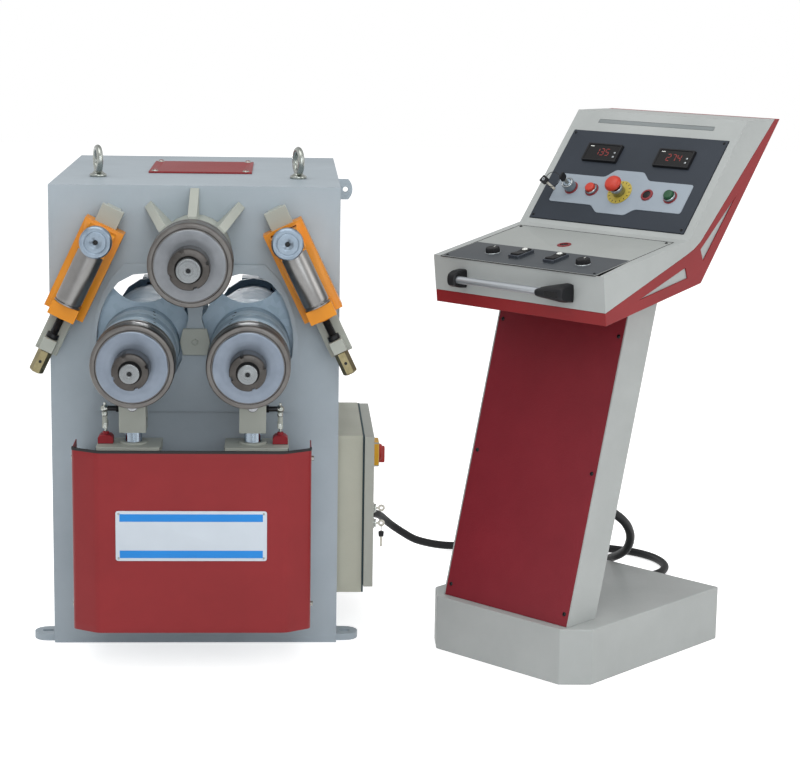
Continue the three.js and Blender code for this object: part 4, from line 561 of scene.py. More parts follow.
GREY = powder_coat("grey_powder_coat", ("#a8acab", "#a0a4a3"), 0.45, "casing_grey")
CASING_GREY = powder_coat("blue_grey_powder_coat", ("#a2adb5", "#9aa5ad"), 0.45, "casing_grey")
PALE_GREY = powder_coat("pale_grey_enamel", ("#a6aaa2", "#9ea29a"), 0.4, "casing_grey", 4.0)
RED = powder_coat("red_powder_coat", ("#862024", "#7e1c20"), 0.42, "cover_red", shine=0.3)
PANEL_RED = powder_coat("red_textured_powder_coat", ("#7c1f2a", "#741b26"), 0.48, "cover_red", 3.5, 0.3, 0.3)
ORANGE = powder_coat("orange_enamel", ("#d98a12", "#cf800f"), 0.38, "carriage_orange", 6.0, 0.08)
BEIGE = powder_coat("beige_powder_coat", ("#b0b1a3", "#a8a99b"), 0.45, "cabinet_beige")
DOOR_BEIGE = powder_coat("grey_beige_powder_coat", ("#a1a49c", "#9a9d95"), 0.45, "cabinet_beige")
DARK = powder_coat("dark_grey_printed_sheet", ("#30363f", "#2c323a"), 0.5, "panel_dark", 3.0, 0.05, 0.2)
DARK_STRIP = powder_coat("slate_printed_sheet", ("#4b4f53", "#474b4f"), 0.5, "panel_dark", 3.0, 0.05, 0.25)
LIGHT_PLATE = powder_coat("pale_blue_printed_sheet", ("#939da7", "#8e98a2"), 0.45, "casing_grey", 3.0,
                          0.04, 0.3)
DESK_GREY = powder_coat("warm_grey_powder_coat", ("#9ea2a0", "#989c9a"), 0.45, "casing_grey", shine=0.3)
OIL_TANK = powder_coat("slate_machine_enamel", ("#6d757c", "#656d74"), 0.45, "panel_dark")
DRIVE_BLUE = powder_coat("blue_grey_casting_enamel", ("#75889a", "#6c7f90"), 0.5, "black_steel", 7.0, 0.25)
STEEL_DARK = plain_metal("blackened_steel", ("#25262a", "#1c1d20"), 0.42, "black_steel", metallic=0.6)
BLACK_SCREW = plain_metal("black_oxide_screw", ("#2b2c2e", "#1e1f21"), 0.35, "black_steel", 6, metallic=0.8)
ZINC = plain_metal("bright_zinc_plate", ("#a9adaa", "#92968f"), 0.26, "zinc_steel", 8)
YELLOW_ZINC = plain_metal("yellow_passivated_zinc", ("#8f8768", "#7f7659"), 0.38, "zinc_steel", 12)
CHROME = plain_metal("ground_hard_chrome", ("#a3b0bc", "#98a5b1"), 0.12, "rod_chrome", 40, 0.005)
PIN_STEEL = plain_metal("ground_pin_steel", ("#9b9da0", "#898b8e"), 0.28, "machined_steel", 12)
# The pale tone is a lighter copy of the blue galvanised steel: painted highlight for the bright reflections on
# the drums' bands and window shields.
DRUM_PAINTED_HIGHLIGHT = galvanised("galvanised_painted_highlight", ("#a9bccb", "#9bb0bf"), 0.48, "pale_steel")
DRUM_BLUE = galvanised("galvanised_blue", ("#8ba1b2", "#7f95a6"), 0.5, "pale_steel")
RUBBER = moulded("black_rubber", "#1b1b1d", 0.7, "cable_black", 2.5, 0.1)
SHEATH = moulded("black_pvc_sheath", "#101113", 0.55, "cable_black", 2.5, 0.06, 0.25)
SEAL_BLUE = moulded("grey_foam_seal", "#3c4d52", 0.75, "cable_black", 3.0, 0.1)
BLACK = moulded("black_nylon", "#141518", 0.5, "black_plastic", shine=0.25)
GLOSS_BLACK = moulded("black_polycarbonate", "#08080a", 0.25, "black_plastic", depth=0.005, shine=0.25)
STOP_RED = moulded("orange_red_abs", "#b6321f", 0.35, "red_plastic", depth=0.01)
CAP_RED = moulded("dark_red_nylon", "#8c1c26", 0.45, "red_plastic", depth=0.03)
HANDLE_RED = moulded("red_abs", "#9c211a", 0.4, "red_plastic", depth=0.02)
GREEN = moulded("green_abs", "#0e4526", 0.35, "green_plastic", depth=0.01)
YELLOW = moulded("yellow_polycarbonate", "#b09c3c", 0.45, "carriage_orange", depth=0.01)
SWITCH_YELLOW = moulded("yellow_abs", "#cf9a10", 0.45, "carriage_orange", depth=0.02)
LAMP_WHITE = moulded("clear_lamp_cap", "#d8dad6", 0.25, "casing_grey", depth=0.005)
BLUE_STRIPE = powder_coat("blue_printed_band", ("#2083d2", "#1e7fcd"), 0.35, "panel_dark", 3.0, 0.02, 0.3)
PLATE_WHITE = powder_coat("white_printed_plate", ("#c6cfd8", "#c0c9d2"), 0.35, "casing_grey", 3.0, 0.02, 0.3)
SATIN_ALUMINIUM = brushed("satin_anodised_aluminium", ("#b6bbc0", "#a7acb1"), 0.3, "zinc_steel")
BRIGHT_ALUMINIUM = plain_metal("bright_turned_aluminium", ("#a6abae", "#94999c"), 0.22, "zinc_steel", 6, 0.01)
RED_RING = moulded("red_anodised_ring", "#7c1f25", 0.4, "red_plastic", depth=0.005)
DIGIT_RED = lit("red_segments", "#7a1a17", 0.18, "red_plastic")
NUT_STEEL = plain_metal("oiled_nut_steel", ("#504d4b", "#444240"), 0.38, "machined_steel", 20)
ROCKER_FRAME = plain_metal("slate_anodised_frame", ("#51565e", "#474c54"), 0.28, "zinc_steel", 6, 0.01, 0.7)
# Darker grey for the floor of the head's slot: painted shade in the recess.
SLOT_PAINTED_SHADE = powder_coat("grey_powder_coat_in_shade", ("#828889", "#7c8283"), 0.5, "casing_grey", shine=0.2)
NICKEL_KEY = plain_metal("nickel_plated_key", ("#aeaca4", "#98968e"), 0.3, "zinc_steel", 6)

# Camera

CAMERA = {"place": (0.1962, -4.9445, 1.4673), "turn": (78.96595, -0.906977, -3.012245), "lens": 94.82}
lens = bpy.data.cameras.new("camera")
lens.sensor_width = 36
lens.sensor_fit = "HORIZONTAL"
lens.lens = CAMERA["lens"]
lens.clip_end = 60
camera = bpy.data.objects.new("camera", lens)
camera.location = CAMERA["place"]
camera.rotation_euler = [math.radians(angle) for angle in CAMERA["turn"]]
bpy.context.scene.collection.objects.link(camera)
bpy.context.scene.camera = camera

# Control cable


def along_route(points, steps=12):
    """Centripetal Catmull-Rom curve: between two points, a Hermite cubic whose slopes come from the chords'
    square-root lengths, so that it passes through each point without overshoot."""
    p = np.array(points, float)
    p = np.vstack([2 * p[0] - p[1], p, 2 * p[-1] - p[-2]])
    knots = np.sqrt(np.linalg.norm(np.diff(p, axis=0), axis=1))[:, None]
    k0, k1, k2 = knots[:-2], knots[1:-1], knots[2:]
    p0, p1, p2, p3 = p[:-3], p[1:-2], p[2:-1], p[3:]
    leave = ((p1 - p0) / k0 - (p2 - p0) / (k0 + k1) + (p2 - p1) / k1) * k1
    arrive = ((p2 - p1) / k1 - (p3 - p1) / (k1 + k2) + (p3 - p2) / k2) * k1
    t = np.linspace(0, 1, steps, endpoint=False)[None, :, None]
    hermite = ((2 * t ** 3 - 3 * t ** 2 + 1) * p1[:, None] + (t ** 3 - 2 * t ** 2 + t) * leave[:, None]
               + (3 * t ** 2 - 2 * t ** 3) * p2[:, None] + (t ** 3 - t ** 2) * arrive[:, None])
    return np.vstack([hermite.reshape(-1, 3), p[-2]])


def make_cable():
    """A round sheath of the cable's radius along its route."""
    line = along_route(CABLE_ROUTE)
    curve = bpy.data.curves.new("control_cable_sheath", "CURVE")
    curve.dimensions = "3D"
    spline = curve.splines.new("POLY")
    spline.points.add(len(line) - 1)
    spline.points.foreach_set("co", np.column_stack([line, np.ones(len(line))]).ravel())
    curve.bevel_depth = CABLE_RADIUS * METRES
    curve.bevel_resolution = 6
    curve.use_fill_caps = True
    sheath = bpy.data.objects.new("control_cable_sheath", curve)
    dressed(sheath, "frame", SHEATH, SHARP, ("control_cable",))


make_cable()

# Small fasteners


def dome_screw(radius, height):
    """A button-head screw: a flattened half round, with a sunk six-sided socket drawn as a round one."""
    a = np.linspace(0, math.pi / 2, 7)
    dome = np.column_stack([radius * np.cos(a), height * np.sin(a)])
    socket, floor = 0.45 * radius, 0.4 * height
    rim = dome[dome[:, 0] > socket * 1.15][1:]
    return turned([(0, 0), (radius, 0), *rim, (socket, height * 0.95), (socket, floor), (0, floor)], 20)


def dome_screws(name, spots, radius, height, local, base=0, finish=BLACK_SCREW):
    """The small screws of one face, as one piece."""
    heads = together(*(shifted(dome_screw(radius, height), x, y, base) for x, y in spots))
    mesh_piece(name, heads, local, finish)


def corner_spots(half, low, high, across, up):
    """Places near the four corners of a plate, moved in by two distances."""
    return [(x, y) for x in (across - half, half - across) for y in (low + up, high - up)]


def hex_head(across_flats, height):
    """A six-sided head whose top edge is broken."""
    edge = 0.8
    outline = circle(across_flats / math.sqrt(3), 6, math.pi / 6)
    return slab(outline, [(0, 0), (0, height - edge), (-edge, height)])


# Casing, covers and cabinet


def make_casing():
    """Painted shell, plates and drives, and the screws of the top plate and of the rear cover."""
    softened("casing", CASING_GREY, 2.2, 3)
    softened("rear_cover", CASING_GREY, 1.0)
    softened("pivot_pin", PALE_GREY, 1.2)
    softened("upper_housing", PALE_GREY, 1.5)
    softened("cylinder_shelf", CASING_GREY, 1.0)
    softened("top_plate", RED, 0.8)
    softened("hydraulic_unit", OIL_TANK, 1.5)
    softened("upper_drive", DRIVE_BLUE, 1.5)
    half, inset, start, end, top = (TOP_PLATE[key] for key in ("half", "inset", "from", "to", "top"))
    spots = corner_spots(half, FRONT + start, FRONT + end, inset, inset)
    dome_screws("top_plate_screws", spots, 7.5, 4.6, MACHINE, top, ZINC)
    spots = [(way * REAR_COVER["across"], z) for way in (-1, 1) for z in REAR_COVER["heights"]]
    dome_screws("rear_cover_screws", spots, 6, 3.5, frame_at((0, REAR_COVER["face"], 0), -X, Z))


def make_gland(name, local, sizes, replaces=()):
    """Cable gland: a hexagon with broken edges, and a domed nut with twelve waves round its flank."""
    radius, nut, neck, length = (sizes[key] for key in ("radius", "nut", "neck", "length"))
    hexagon = slab(circle((radius + 0.3) / math.cos(math.pi / 6), 6),
                   [(-1.4, 0), (0, 1.4), (0, nut - 1.2), (-1.4, nut + 0.3)])
    profile = eased([(0, nut), (radius - 1.4, nut), (radius - 1.4, nut + 6), (neck + 0.8, length - 2.5),
                     (neck - 1, length + 0.4), (0, length + 0.4)], [0, 0, 2, 2, 1.5, 0], 5, closed=False)
    cap = knurled(profile, neck, 2, 0.5, 12, 144)
    mesh_piece(name, together(hexagon, cap), local, BLACK, replaces=replaces)


def cover_plan(start):
    """The front cover's plan from a distance ahead of the plate: a side, its slant, the face and so back."""
    half = [(COVER["wide"], -start), (COVER["wide"], -COVER["corner"]), (COVER["face"], -COVER["ahead"])]
    line = [(-x, y) for x, y in half] + half[::-1]
    return eased(line, COVER["bend"], 7, closed=False) + np.array([0, FRONT])


def make_front_cover():
    """Bent sheet: its plan carried up, then given its thickness inwards."""
    line = cover_plan(COVER["side"])
    heights = COVER["bottom"], COVER["bottom"] + 20, COVER["top"] - 20, COVER["top"]
    faces = [face[::-1] for face in grid_faces(len(heights), len(line), loop_columns=False)]
    shape = np.vstack([at_height(line, height) for height in heights]), faces
    cover = mesh_piece("front_cover_sheet", shape, MACHINE, RED, replaces=("front_cover",))
    wall = cover.modifiers.new("sheet", "SOLIDIFY")
    wall.thickness = COVER["sheet"] * METRES
    wall.offset = -1
    add_bevel(cover, 0.8, 2, math.radians(60))


def make_cover_trim():
    """Rubber profile that grips the top edge of the cover's face and slants."""
    thin = COVER["sheet"] / 2
    middle = cover_plan(COVER["corner"] - 12) * np.array([1 - thin / COVER["wide"], 1]) + np.array([0, thin])
    section = eased([(-2.3, -4), (2.3, -4), (2.3, 2.2), (-2.3, 2.2)], 1.6, 4)
    mesh_piece("front_cover_trim", swept(section, at_height(middle, COVER["top"]), Z), MACHINE, RUBBER)


def make_cover_screws():
    """Two zinc-plated hexagon heads on each of the cover's sides."""
    for name, side in SIDES:
        face = frame_at((side * COVER["wide"], FRONT, 0), Y * side, Z)
        spots = [(-side * COVER["screws"], z) for z in COVER["screw_heights"]]
        heads = together(*(shifted(hex_head(10, 6), *spot) for spot in spots))
        mesh_piece(f"cover_screws_{name}", heads, face, ZINC)


def make_nameplate():
    """A blank plate: a white face with two plain blue bands and four rivets."""
    face = frame_at((0, FRONT - COVER["ahead"], 0), X, Z)
    half, low, high, thick, edge, tall = (NAMEPLATE[key] for key in ("half", "low", "high", "thickness", "edge",
                                                                      "band"))
    plate = slab(rectangle(-half, half, low, high, 6), rimmed(0.1, thick, 0.6))
    mesh_piece("nameplate", plate, face, PLATE_WHITE)
    wide = half - edge - 2
    for name, start in (("low", low + edge), ("high", high - edge - tall)):
        band = slab(rectangle(-wide, wide, start, start + tall, 0.5), rimmed(thick - 0.2, thick + 0.2, 0.1))
        mesh_piece(f"nameplate_band_{name}", band, face, BLUE_STRIPE)
    dome_screws("nameplate_rivets", corner_spots(half, low, high, edge, 6), 2.4, 1.4, face, thick, ZINC)


def make_cabinet():
    """Painted box and door, and the foam seal between them: a flat ring between two rectangles."""
    softened("cabinet", BEIGE, 1.2)
    softened("cabinet_door", DOOR_BEIGE, 2.0, 3)
    start, end = FRONT + CABINET["from"], FRONT + CABINET["to"] - 6
    outer, inner = (rectangle(start + d, end - d, CABINET["bottom"] + d, CABINET["top"] - d, 6)
                    for d in (-0.5, 9))
    seal = stacked([(outer, 0.1), (outer, 3.8), (inner, 3.8), (inner, 0.1)])
    mesh_piece("cabinet_seal", seal, frame_at((CABINET["outer"], 0, 0), Y, Z), SEAL_BLUE)


def make_main_switch():
    """Square yellow plate on the door, and the red handle with its disc."""
    half = MAIN_SWITCH["plate"] / 2
    door_face = frame_at((DOOR_FACE, FRONT + MAIN_SWITCH["behind"], MAIN_SWITCH["height"]), Y, Z)
    edge = half + 0.4
    plate = slab(rectangle(-edge, edge, -edge, edge, 6), rimmed(0.2, 16.3, 2))
    mesh_piece("main_switch_plate", plate, door_face, SWITCH_YELLOW, "door")
    disc = lathed([(0, 16.4), (19, 16.4), (20, 20), (17, 24), (0, 24)], 1.2, 4, 48)
    wide, reach = 7.5, half - 4
    bar = slab(eased([(-wide, -reach), (wide, -reach), (wide, reach * 0.6), (-wide, reach * 0.6)], 5, 6),
               rimmed(17, 30.2, 3))
    mesh_piece("main_switch_knob", together(disc, bar), door_face, HANDLE_RED, "main_switch",
               ("main_switch_handle",))


def make_door_locks():
    """Round escutcheon with a stepped barrel, and a key whose bow stands upright with a hole through it."""
    radius, deep, thick = LOCK["radius"], LOCK["barrel"], LOCK["thick"]
    for name, height in LOCK["heights"].items():
        seat = frame_at((DOOR_FACE, FRONT + LOCK["behind"], height), Y, Z)
        barrel = lathed([(0, 0.1), (radius, 0.1), (radius, 2), (radius - 3, 3.2), (radius - 3, deep), (5, deep),
                         (4.4, deep - 1), (0, deep - 1)], 0.6, 4, 56)
        bow_face = frame_at((DOOR_FACE + LOCK["bow"], FRONT + LOCK["behind"] + thick / 2, height), X, Z)
        blade = slab(rectangle(deep - LOCK["bow"] - 2, -6, -2.4, 2.4, 0.6),
                     [(-0.2, 0.2), (0, 0.5), (0, 2.0), (-0.2, 2.3)])
        bow = lathed([(3, 0.1), (8, 0.1), (8, thick - 0.1), (3, thick - 0.1)], 0.5, 4, 40)
        mesh_piece(f"{name}_lock_barrel", barrel, seat, ZINC, f"{name}_lock", (f"{name}_door_lock",))
        mesh_piece(f"{name}_lock_key", together(blade, bow), bow_face, NICKEL_KEY, f"{name}_lock")


def make_hanging_key():
    """Wire ring through the lower key's bow, and a second key that hangs from it."""
    place = (DOOR_FACE + LOCK["bow"], FRONT + LOCK["behind"], LOCK["heights"]["lower"])
    ring = shifted(ring_surface(7.5, 0.7, 48, 8), y=-12.5)
    mesh_piece("hanging_ring", ring, frame_at(place, Y, Z), NICKEL_KEY, "lower_lock")
    upright = frame_at(place, X, Z)
    bow = chamfered(eased([(-5.5, -32), (5.5, -32), (6.5, -20), (4, -18.5), (-4, -18.5), (-6.5, -20)], 2, 5),
                    -1.4, 1.4, 0.6)
    mesh_piece("hanging_key_bow", bow, upright, BLACK, "lower_lock")
    blade = chamfered(rectangle(-2.8, 2.8, -55, -31.5, 0.8), -0.9, 0.9, 0.2)
    mesh_piece("hanging_key_blade", blade, upright, NICKEL_KEY, "lower_lock")


def make_eyebolts():
    """Forged eye on a round collar, turned a little from the front."""
    turn, ring, wire = (EYEBOLT[key] for key in ("turn", "ring", "wire"))
    eye = moved(ring_surface(ring, wire), frame_at((0, 0, 0), (math.sin(turn), -math.cos(turn), 0), Z))
    foot = lathed([(0, -ring - 12), (19, -38), (19, -32.5), (12.5, -29.5), (8.5, -24), (0, -24)],
                  [0, 1.5, 2, 5, 1, 0], 5, 48)
    for name, side in SIDES:
        centre = (side * EYEBOLT["x"], FRONT + EYEBOLT["behind"], CASING_HEIGHT + 8 + ring + wire * 0.6)
        mesh_piece(f"{name}_eyebolt_forged", together(eye, foot), frame_at(centre, X, Y), ZINC,
                   replaces=(f"{name}_eyebolt",))


# Spindles: rolls, shafts and nuts


def make_roll(name, x, z):
    """Ring with a groove near its back and a stepped front, and the paler disc inside it."""
    radius, back, ring, bore = ROLL["radius"], ROLL["back"], ROLL["ring"], ROLL["bore"]
    groove, inner, face = ROLL["groove"], ROLL["disc"], ROLL["face"]
    outside = [
        (bore, back), (radius - 5, back), (radius, back + 5), (radius, groove - 3),
        (radius - 2.6, groove - 2.4), (radius - 2.6, groove + 2.4), (radius, groove + 3), (radius, ring - 6),
        (radius - 1.8, ring - 1.2), (radius - 5, ring), (inner + 3, ring), (inner + 2.2, ring - 1.5),
        (inner + 0.8, ring - 1.5), (inner - 2, ring - 1.4), (bore, ring - 1.4),
    ]
    disc = [(bore, ring - 2), (inner, ring - 2), (inner, face - 1.6), (inner - 1.8, face), (bore, face)]
    ring_finish = lathe_turned(f"turned_steel_ring_{name}", ("#6d6b69", "#5e5b59"), 0.36, (x, z))
    # The lower discs get a bluer tone than the upper one: the same turned steel, with the cool light they
    # reflect painted in.
    tones = ("#7c7f83", "#717478") if name == "upper" else ("#7d8692", "#727b87")
    disc_finish = lathe_turned(f"turned_steel_disc_{name}", tones, 0.34, (x, z), 2.0)
    local, body = ahead_frame(x, z), f"{name}_spindle"
    mesh_piece(f"{name}_roll_ring", lathed(outside, 0.8, 4, 144), local, ring_finish, body, (f"{name}_roll",))
    mesh_piece(f"{name}_roll_disc", lathed(disc, 0.6, 4, 144), local, disc_finish, body)


def notched_nut(radius, bore):
    """Lock nut: a lathe surface whose front rows are cut in where an angle lies within one of four notches."""
    starts = np.array([0.35, 1.92, 3.49, 5.06])
    half = NUT["notch"] / 2 / radius
    sides, flanks = np.array([-1, -1, 1, 1]), np.array([-0.003, 0.003, -0.003, 0.003])
    edges = (starts[:, None] + sides * (half + flanks)).ravel()
    angles = np.sort(np.concatenate([round_angles(120), edges % (2 * math.pi)]))
    profile = np.array([(bore, NUT["back"]), (radius, NUT["back"]), (radius, 290), (radius, 304),
                        (radius - 1.2, 306.6), (radius - 3, 307.6), (bore + 2.2, 308), (bore, 306.4)])
    depth = np.zeros((len(profile), 1))
    depth[3:6] = NUT["depth"]
    away = np.abs((angles[:, None] - starts + math.pi) % (2 * math.pi) - math.pi)
    grid = spun(profile[:, :1] - depth * np.any(away < half, axis=1), profile[:, 1:], angles)
    return grid.reshape(-1, 3), grid_faces(len(profile), len(angles), True)


def make_shaft(name, x, z, sizes):
    """Journal and collar, the lock nut with its notches, and the bright end with its centre hole."""
    nut, end, tip = sizes["nut"], sizes["end"], SHAFT_END
    local, body = ahead_frame(x, z), f"{name}_spindle"
    journal = [(0, -330), (40, -330), (40, 152), (51.8, 152), (51.8, 164.7), (30, 164.7), (30, 250.2),
               (0, 250.2)]
    mesh_piece(f"{name}_journal", lathed(journal, 0.8, 3, 96), local, PIN_STEEL, body, (f"{name}_shaft",))
    mesh_piece(f"{name}_lock_nut", notched_nut(nut, end + 1.8), local, NUT_STEEL, body)
    # Black ring just behind the gap between the nut and the shaft end: partly the thread, partly painted shade
    # in the gap.
    mesh_piece(f"{name}_thread_and_gap_painted_shade", plug(end + 2, 298, 303, 72), local, BLACK_SCREW, body)
    profile = [(0, 305), (end, 305), (end, tip - 1), (end - 1.4, tip), (6, tip), (4.6, tip - 1.6),
               (4.6, tip - 13), (0, tip - 14)]
    finish = lathe_turned(f"bright_turned_steel_{name}", ("#84888a", "#76797b"), 0.3, (x, z), 1.6)
    mesh_piece(f"{name}_shaft_end", lathed(profile, 0.5, 4, 72), local, finish, body)
    # Black plug inside the centre hole: painted shade in the hole.
    mesh_piece(f"{name}_centre_hole_painted_shade", plug(4.8, tip - 8, tip - 2, 32), local, BLACK_SCREW, body)
    dots = together(*(shifted(plug(2.6, 0, 0.5, 16), (nut - 8) * math.cos(a), (nut - 8) * math.sin(a), 307.2)
                      for a in (1.13, 2.7)))
    mesh_piece(f"{name}_set_screws", dots, local, BLACK_SCREW, body)


# The sleeves alternate pale and blue: the pale bands are the same galvanised steel with a painted highlight.
DRUM_BANDS = [("end", 122, ARM["end"] + 0.3, DRUM_PAINTED_HIGHLIGHT), ("front", 72, 119, DRUM_BLUE),
              ("middle", 18, 69, DRUM_PAINTED_HIGHLIGHT), ("rear", -150, 15, DRUM_BLUE)]
DRUM_SCREWS = ((135, 62), (92, 64), (52, 66), (12, 68))


def make_drum(name, side):
    """Sleeves along the swinging drum, from its front end to inside the casing, with grooves between them."""
    softened(f"{name}_arm", DRUM_BLUE, 0.8)
    softened(f"{name}_drive", DRIVE_BLUE, 1.5)
    local, body, radius = ahead_frame(*lower_place(side)), f"{name}_swing_arm", ARM["drum"] + 0.25
    for part, low, high, finish in DRUM_BANDS:
        sleeve = lathed([(76, low), (radius, low), (radius, high), (76, high)], 2.4, 6, 120)
        mesh_piece(f"{name}_drum_{part}", sleeve, local, finish, body)
    dots = []
    for ahead, degrees in DRUM_SCREWS:
        angle = math.radians(degrees if side < 0 else 180 - degrees)
        out = np.array([math.cos(angle), math.sin(angle), 0])
        seat = frame_at(out * (radius - 1.2) + ahead * Z, np.cross(Z, out), Z)
        dots.append(moved(plug(3.2, 0, 1.7, 16), seat))
    mesh_piece(f"{name}_drum_screws", together(*dots), local, BLACK_SCREW, body)


def make_window_shield(name, side):
    """Sheet ring on the drum, just behind the front plate, that closes most of the swing window. Its rim is a
    circle, drawn in where a swing would bring it to the upper housing or the other drum, and at the pivot pin.
    Places are complex numbers x + iz, seen from the drum: one at angle a turns by a factor exp(ia)."""
    steps = 36
    swing = np.linspace(0, SHIELD["swing"], steps)
    arm = ARM["radius"] * np.exp(1j * (ARM["rest"] + swing))
    back = np.exp(-1j * swing)
    housing = (1j * (UPPER[1] - PIVOT_HEIGHT) - arm) * back
    drums = (-arm.conj()[:, None] - arm) * back
    centres = np.concatenate([housing, drums.ravel(), [-arm[0]]])
    keep = np.repeat([SHIELD["housing"], SHIELD["drum"], SHIELD["pin"]], [steps, steps ** 2, 1])
    a = round_angles(180)
    along = (np.exp(1j * a)[:, None] * centres.conj()).real
    inside = keep ** 2 - (np.abs(centres) ** 2 - along ** 2)
    free = np.where((inside > 0) & (along > 0), along - np.sqrt(np.maximum(inside, 0)), SHIELD["radius"])
    reach = np.minimum(np.min(free, axis=1), SHIELD["radius"])
    rim = np.column_stack([reach * np.cos(a), reach * np.sin(a)])
    if side < 0:
        rim = (rim * [-1, 1])[::-1]
    low = SHIELD["behind"][name]
    sheet = chamfered(rim, low, low + 3, 0.5)
    # The shield takes the drums' pale tone: painted highlight.
    mesh_piece(f"{name}_window_shield", sheet, ahead_frame(*lower_place(side)), DRUM_PAINTED_HIGHLIGHT, f"{name}_swing_arm")


# Lifting cylinders


def make_lift(name, side):
    """Cylinder with its head flange and gland, the red cap of the position sensor, and the bright rod."""
    x, y = side * CYLINDER["x"], FRONT - CYLINDER["ahead"]
    body, top = f"{name}_lift_cylinder", CYLINDER["flange"]
    softened(f"{name}_cylinder", STEEL_DARK, 1.0)
    low, high = sorted((x - side * 60, x + side * 77))
    flange = slab(rectangle(low - 0.3, high + 0.3, y - 50.3, y + 50.3, 3), rimmed(468.6, top + 0.3, 1.2))
    gland = lathed([(19.5, top), (30, top), (30, top + 3.5), (28, top + 5), (19.5, top + 5)], 0.6, 3, 64)
    mesh_piece(f"{name}_cylinder_head", together(flange, shifted(gland, x, y)), MACHINE, PALE_GREY, body)
    sensor_x = x + side * SENSOR["offset"]
    half, tall, deep = SENSOR["width"] / 2 + 0.4, SENSOR["top"] + 0.4, SENSOR["depth"] / 2 + 0.4
    outline = eased([(-half, top + 0.3), (half, top + 0.3), (half, tall - 6), (half - 6, tall),
                     (-half + 6, tall), (-half, tall - 6)], 1.5, 4)
    cap = chamfered(outline, -deep, deep, 1)
    mesh_piece(f"{name}_sensor_cap", cap, frame_at((sensor_x, y, 0), X, Z), CAP_RED, body)
    neck = turned([(3.6, tall - 1), (7, tall - 1), (7, tall + 5), (5.5, tall + 6), (3.6, tall + 6)], 32)
    mesh_piece(f"{name}_sensor_neck", shifted(neck, sensor_x, y), MACHINE, CAP_RED, body)
    radius, bottom, foot = ROD["radius"], ROD["bottom"], ROD["piston"]
    rod = lathed([(0, bottom), (foot, bottom), (foot, 250), (radius, 250), (radius, ROD["top"]),
                  (0, ROD["top"])], 0.6, 3, 72)
    mesh_piece(f"{name}_piston_rod", shifted(rod, x, y), MACHINE, CHROME, f"{name}_lift_rod", (f"{name}_rod",))


def make_fork(name, side):
    """Painted clevis, its pin, the black stud to the side and the ball joint of the position sensor."""
    x, y = side * CYLINDER["x"], FRONT - CYLINDER["ahead"]
    body, front = f"{name}_lift_rod", y - FORK["depth"] / 2
    height, radius, size = LINK["height"], LINK["ball"], LINK["stud"]
    softened(f"{name}_fork", PALE_GREY, 1.6, 3)
    pin = lathed([(0, 0.1), (11.8, 0.1), (11.8, 1.4), (10.6, 2.2), (0, 2.2)], 0.4, 3, 40)
    mesh_piece(f"{name}_fork_pin", pin, frame_at((x, front, FORK["pin"]), X, Z), PIN_STEEL, body)
    sensor_x, stud_y = x + side * SENSOR["offset"], front + 8
    stud = turned([(0, 28.7), (size, 28.7), (size, 61), (size - 1, 63), (0, 63)], 32)
    mesh_piece(f"{name}_sensor_stud", together(stud, shifted(hex_head(14, 6), z=29)),
               frame_at((x, stud_y, height), -Z * side, Y), BLACK_SCREW, body)
    a = np.linspace(-math.pi / 2, math.pi / 2, 15)
    ball = turned(np.column_stack([radius * np.cos(a), height + radius * np.sin(a)]), 32)
    tip = turned([(0, height + 7), (3, height + 7), (3, height + 13), (0, height + 13.5)], 24)
    sleeve = lathed([(0, 521.6), (5, 521.6), (6, 524), (6, 530), (4.4, 533), (4.4, 546), (6.2, 549), (6.2, 556),
                     (0, 557)], 0.6, 3, 32)
    mesh_piece(f"{name}_ball_joint", shifted(together(ball, tip, sleeve), sensor_x, stud_y), MACHINE, ZINC,
               body)
    low = shifted(plug(3.3, 380, 531, 24), sensor_x, y)
    bend = slab(rectangle(sensor_x - 5.8, sensor_x + 5.8, stud_y - 5.8, y + 5.8, 4), rimmed(521.7, 533.3, 2))
    mesh_piece(f"{name}_sensor_rod", together(low, bend), MACHINE, ZINC, body)


# Side guides


def make_guide(name, side):
    """Painted rail and carriage, the stepped side roller and the flat roller on the carriage's face."""
    softened(f"{name}_rail", PALE_GREY, 1.2)
    softened(f"{name}_carriage", ORANGE, 1.8, 3)
    low, high = CARRIAGE["lower"] + 0.4, CARRIAGE["upper"] - 0.4
    radius, collar = ROLLER["radius"], ROLLER["collar"]
    barrel = [(0, low - 8), (8, low - 8), (8, low), (collar - 1, low), (collar, low + 1), (collar, low + 3.4),
              (radius - 3, low + 4.2), (radius - 3, low + 6.4), (collar - 1, low + 7), (collar - 0.6, low + 10),
              (radius, low + 11.5), (radius, high - 1.2), (radius - 1.2, high), (8, high), (8, high + 8),
              (0, high + 8)]
    finish = plain_metal(f"turned_roller_{name}", ("#8c8b8a", "#7d7c7b"), 0.3, "machined_steel", 60)
    mesh_piece(f"{name}_roller_barrel", lathed(barrel, 0.6, 3, 96), slope_axis(side, ROLLER["ahead"]), finish,
               f"{name}_side_roller", (f"{name}_guide_roller",))
    near, big, body = CARRIAGE["upper_ahead"] + 0.4, FACE_ROLLER["radius"], f"{name}_face_roller"
    face = near + FACE_ROLLER["thickness"]
    disc = [(0, near - 17), (10, near - 17), (10, near), (big - 1.5, near), (big, near + 1.5), (big, face - 3),
            (big - 3, face), (24.2, face), (23.4, face - 1), (22.4, face - 1), (21.6, face), (13, face),
            (5.4, face - 4), (4.6, face - 12), (0, face - 12)]
    bright = plain_metal(f"faced_steel_{name}", ("#8b98a5", "#7b8895"), 0.32, "pale_steel", 20)
    local = inside_of(slope_front(side), (0, FACE_ROLLER["at"], 0), X, Y)
    mesh_piece(f"{name}_face_disc", lathed(disc, 0.5, 4, 96), local, bright, body, (f"{name}_guide_disc",))
    # Black plug inside the disc's centre hole: painted shade in the hole.
    mesh_piece(f"{name}_face_hole_painted_shade", plug(4.9, face - 13, face - 5.5, 32), local, BLACK_SCREW, body)


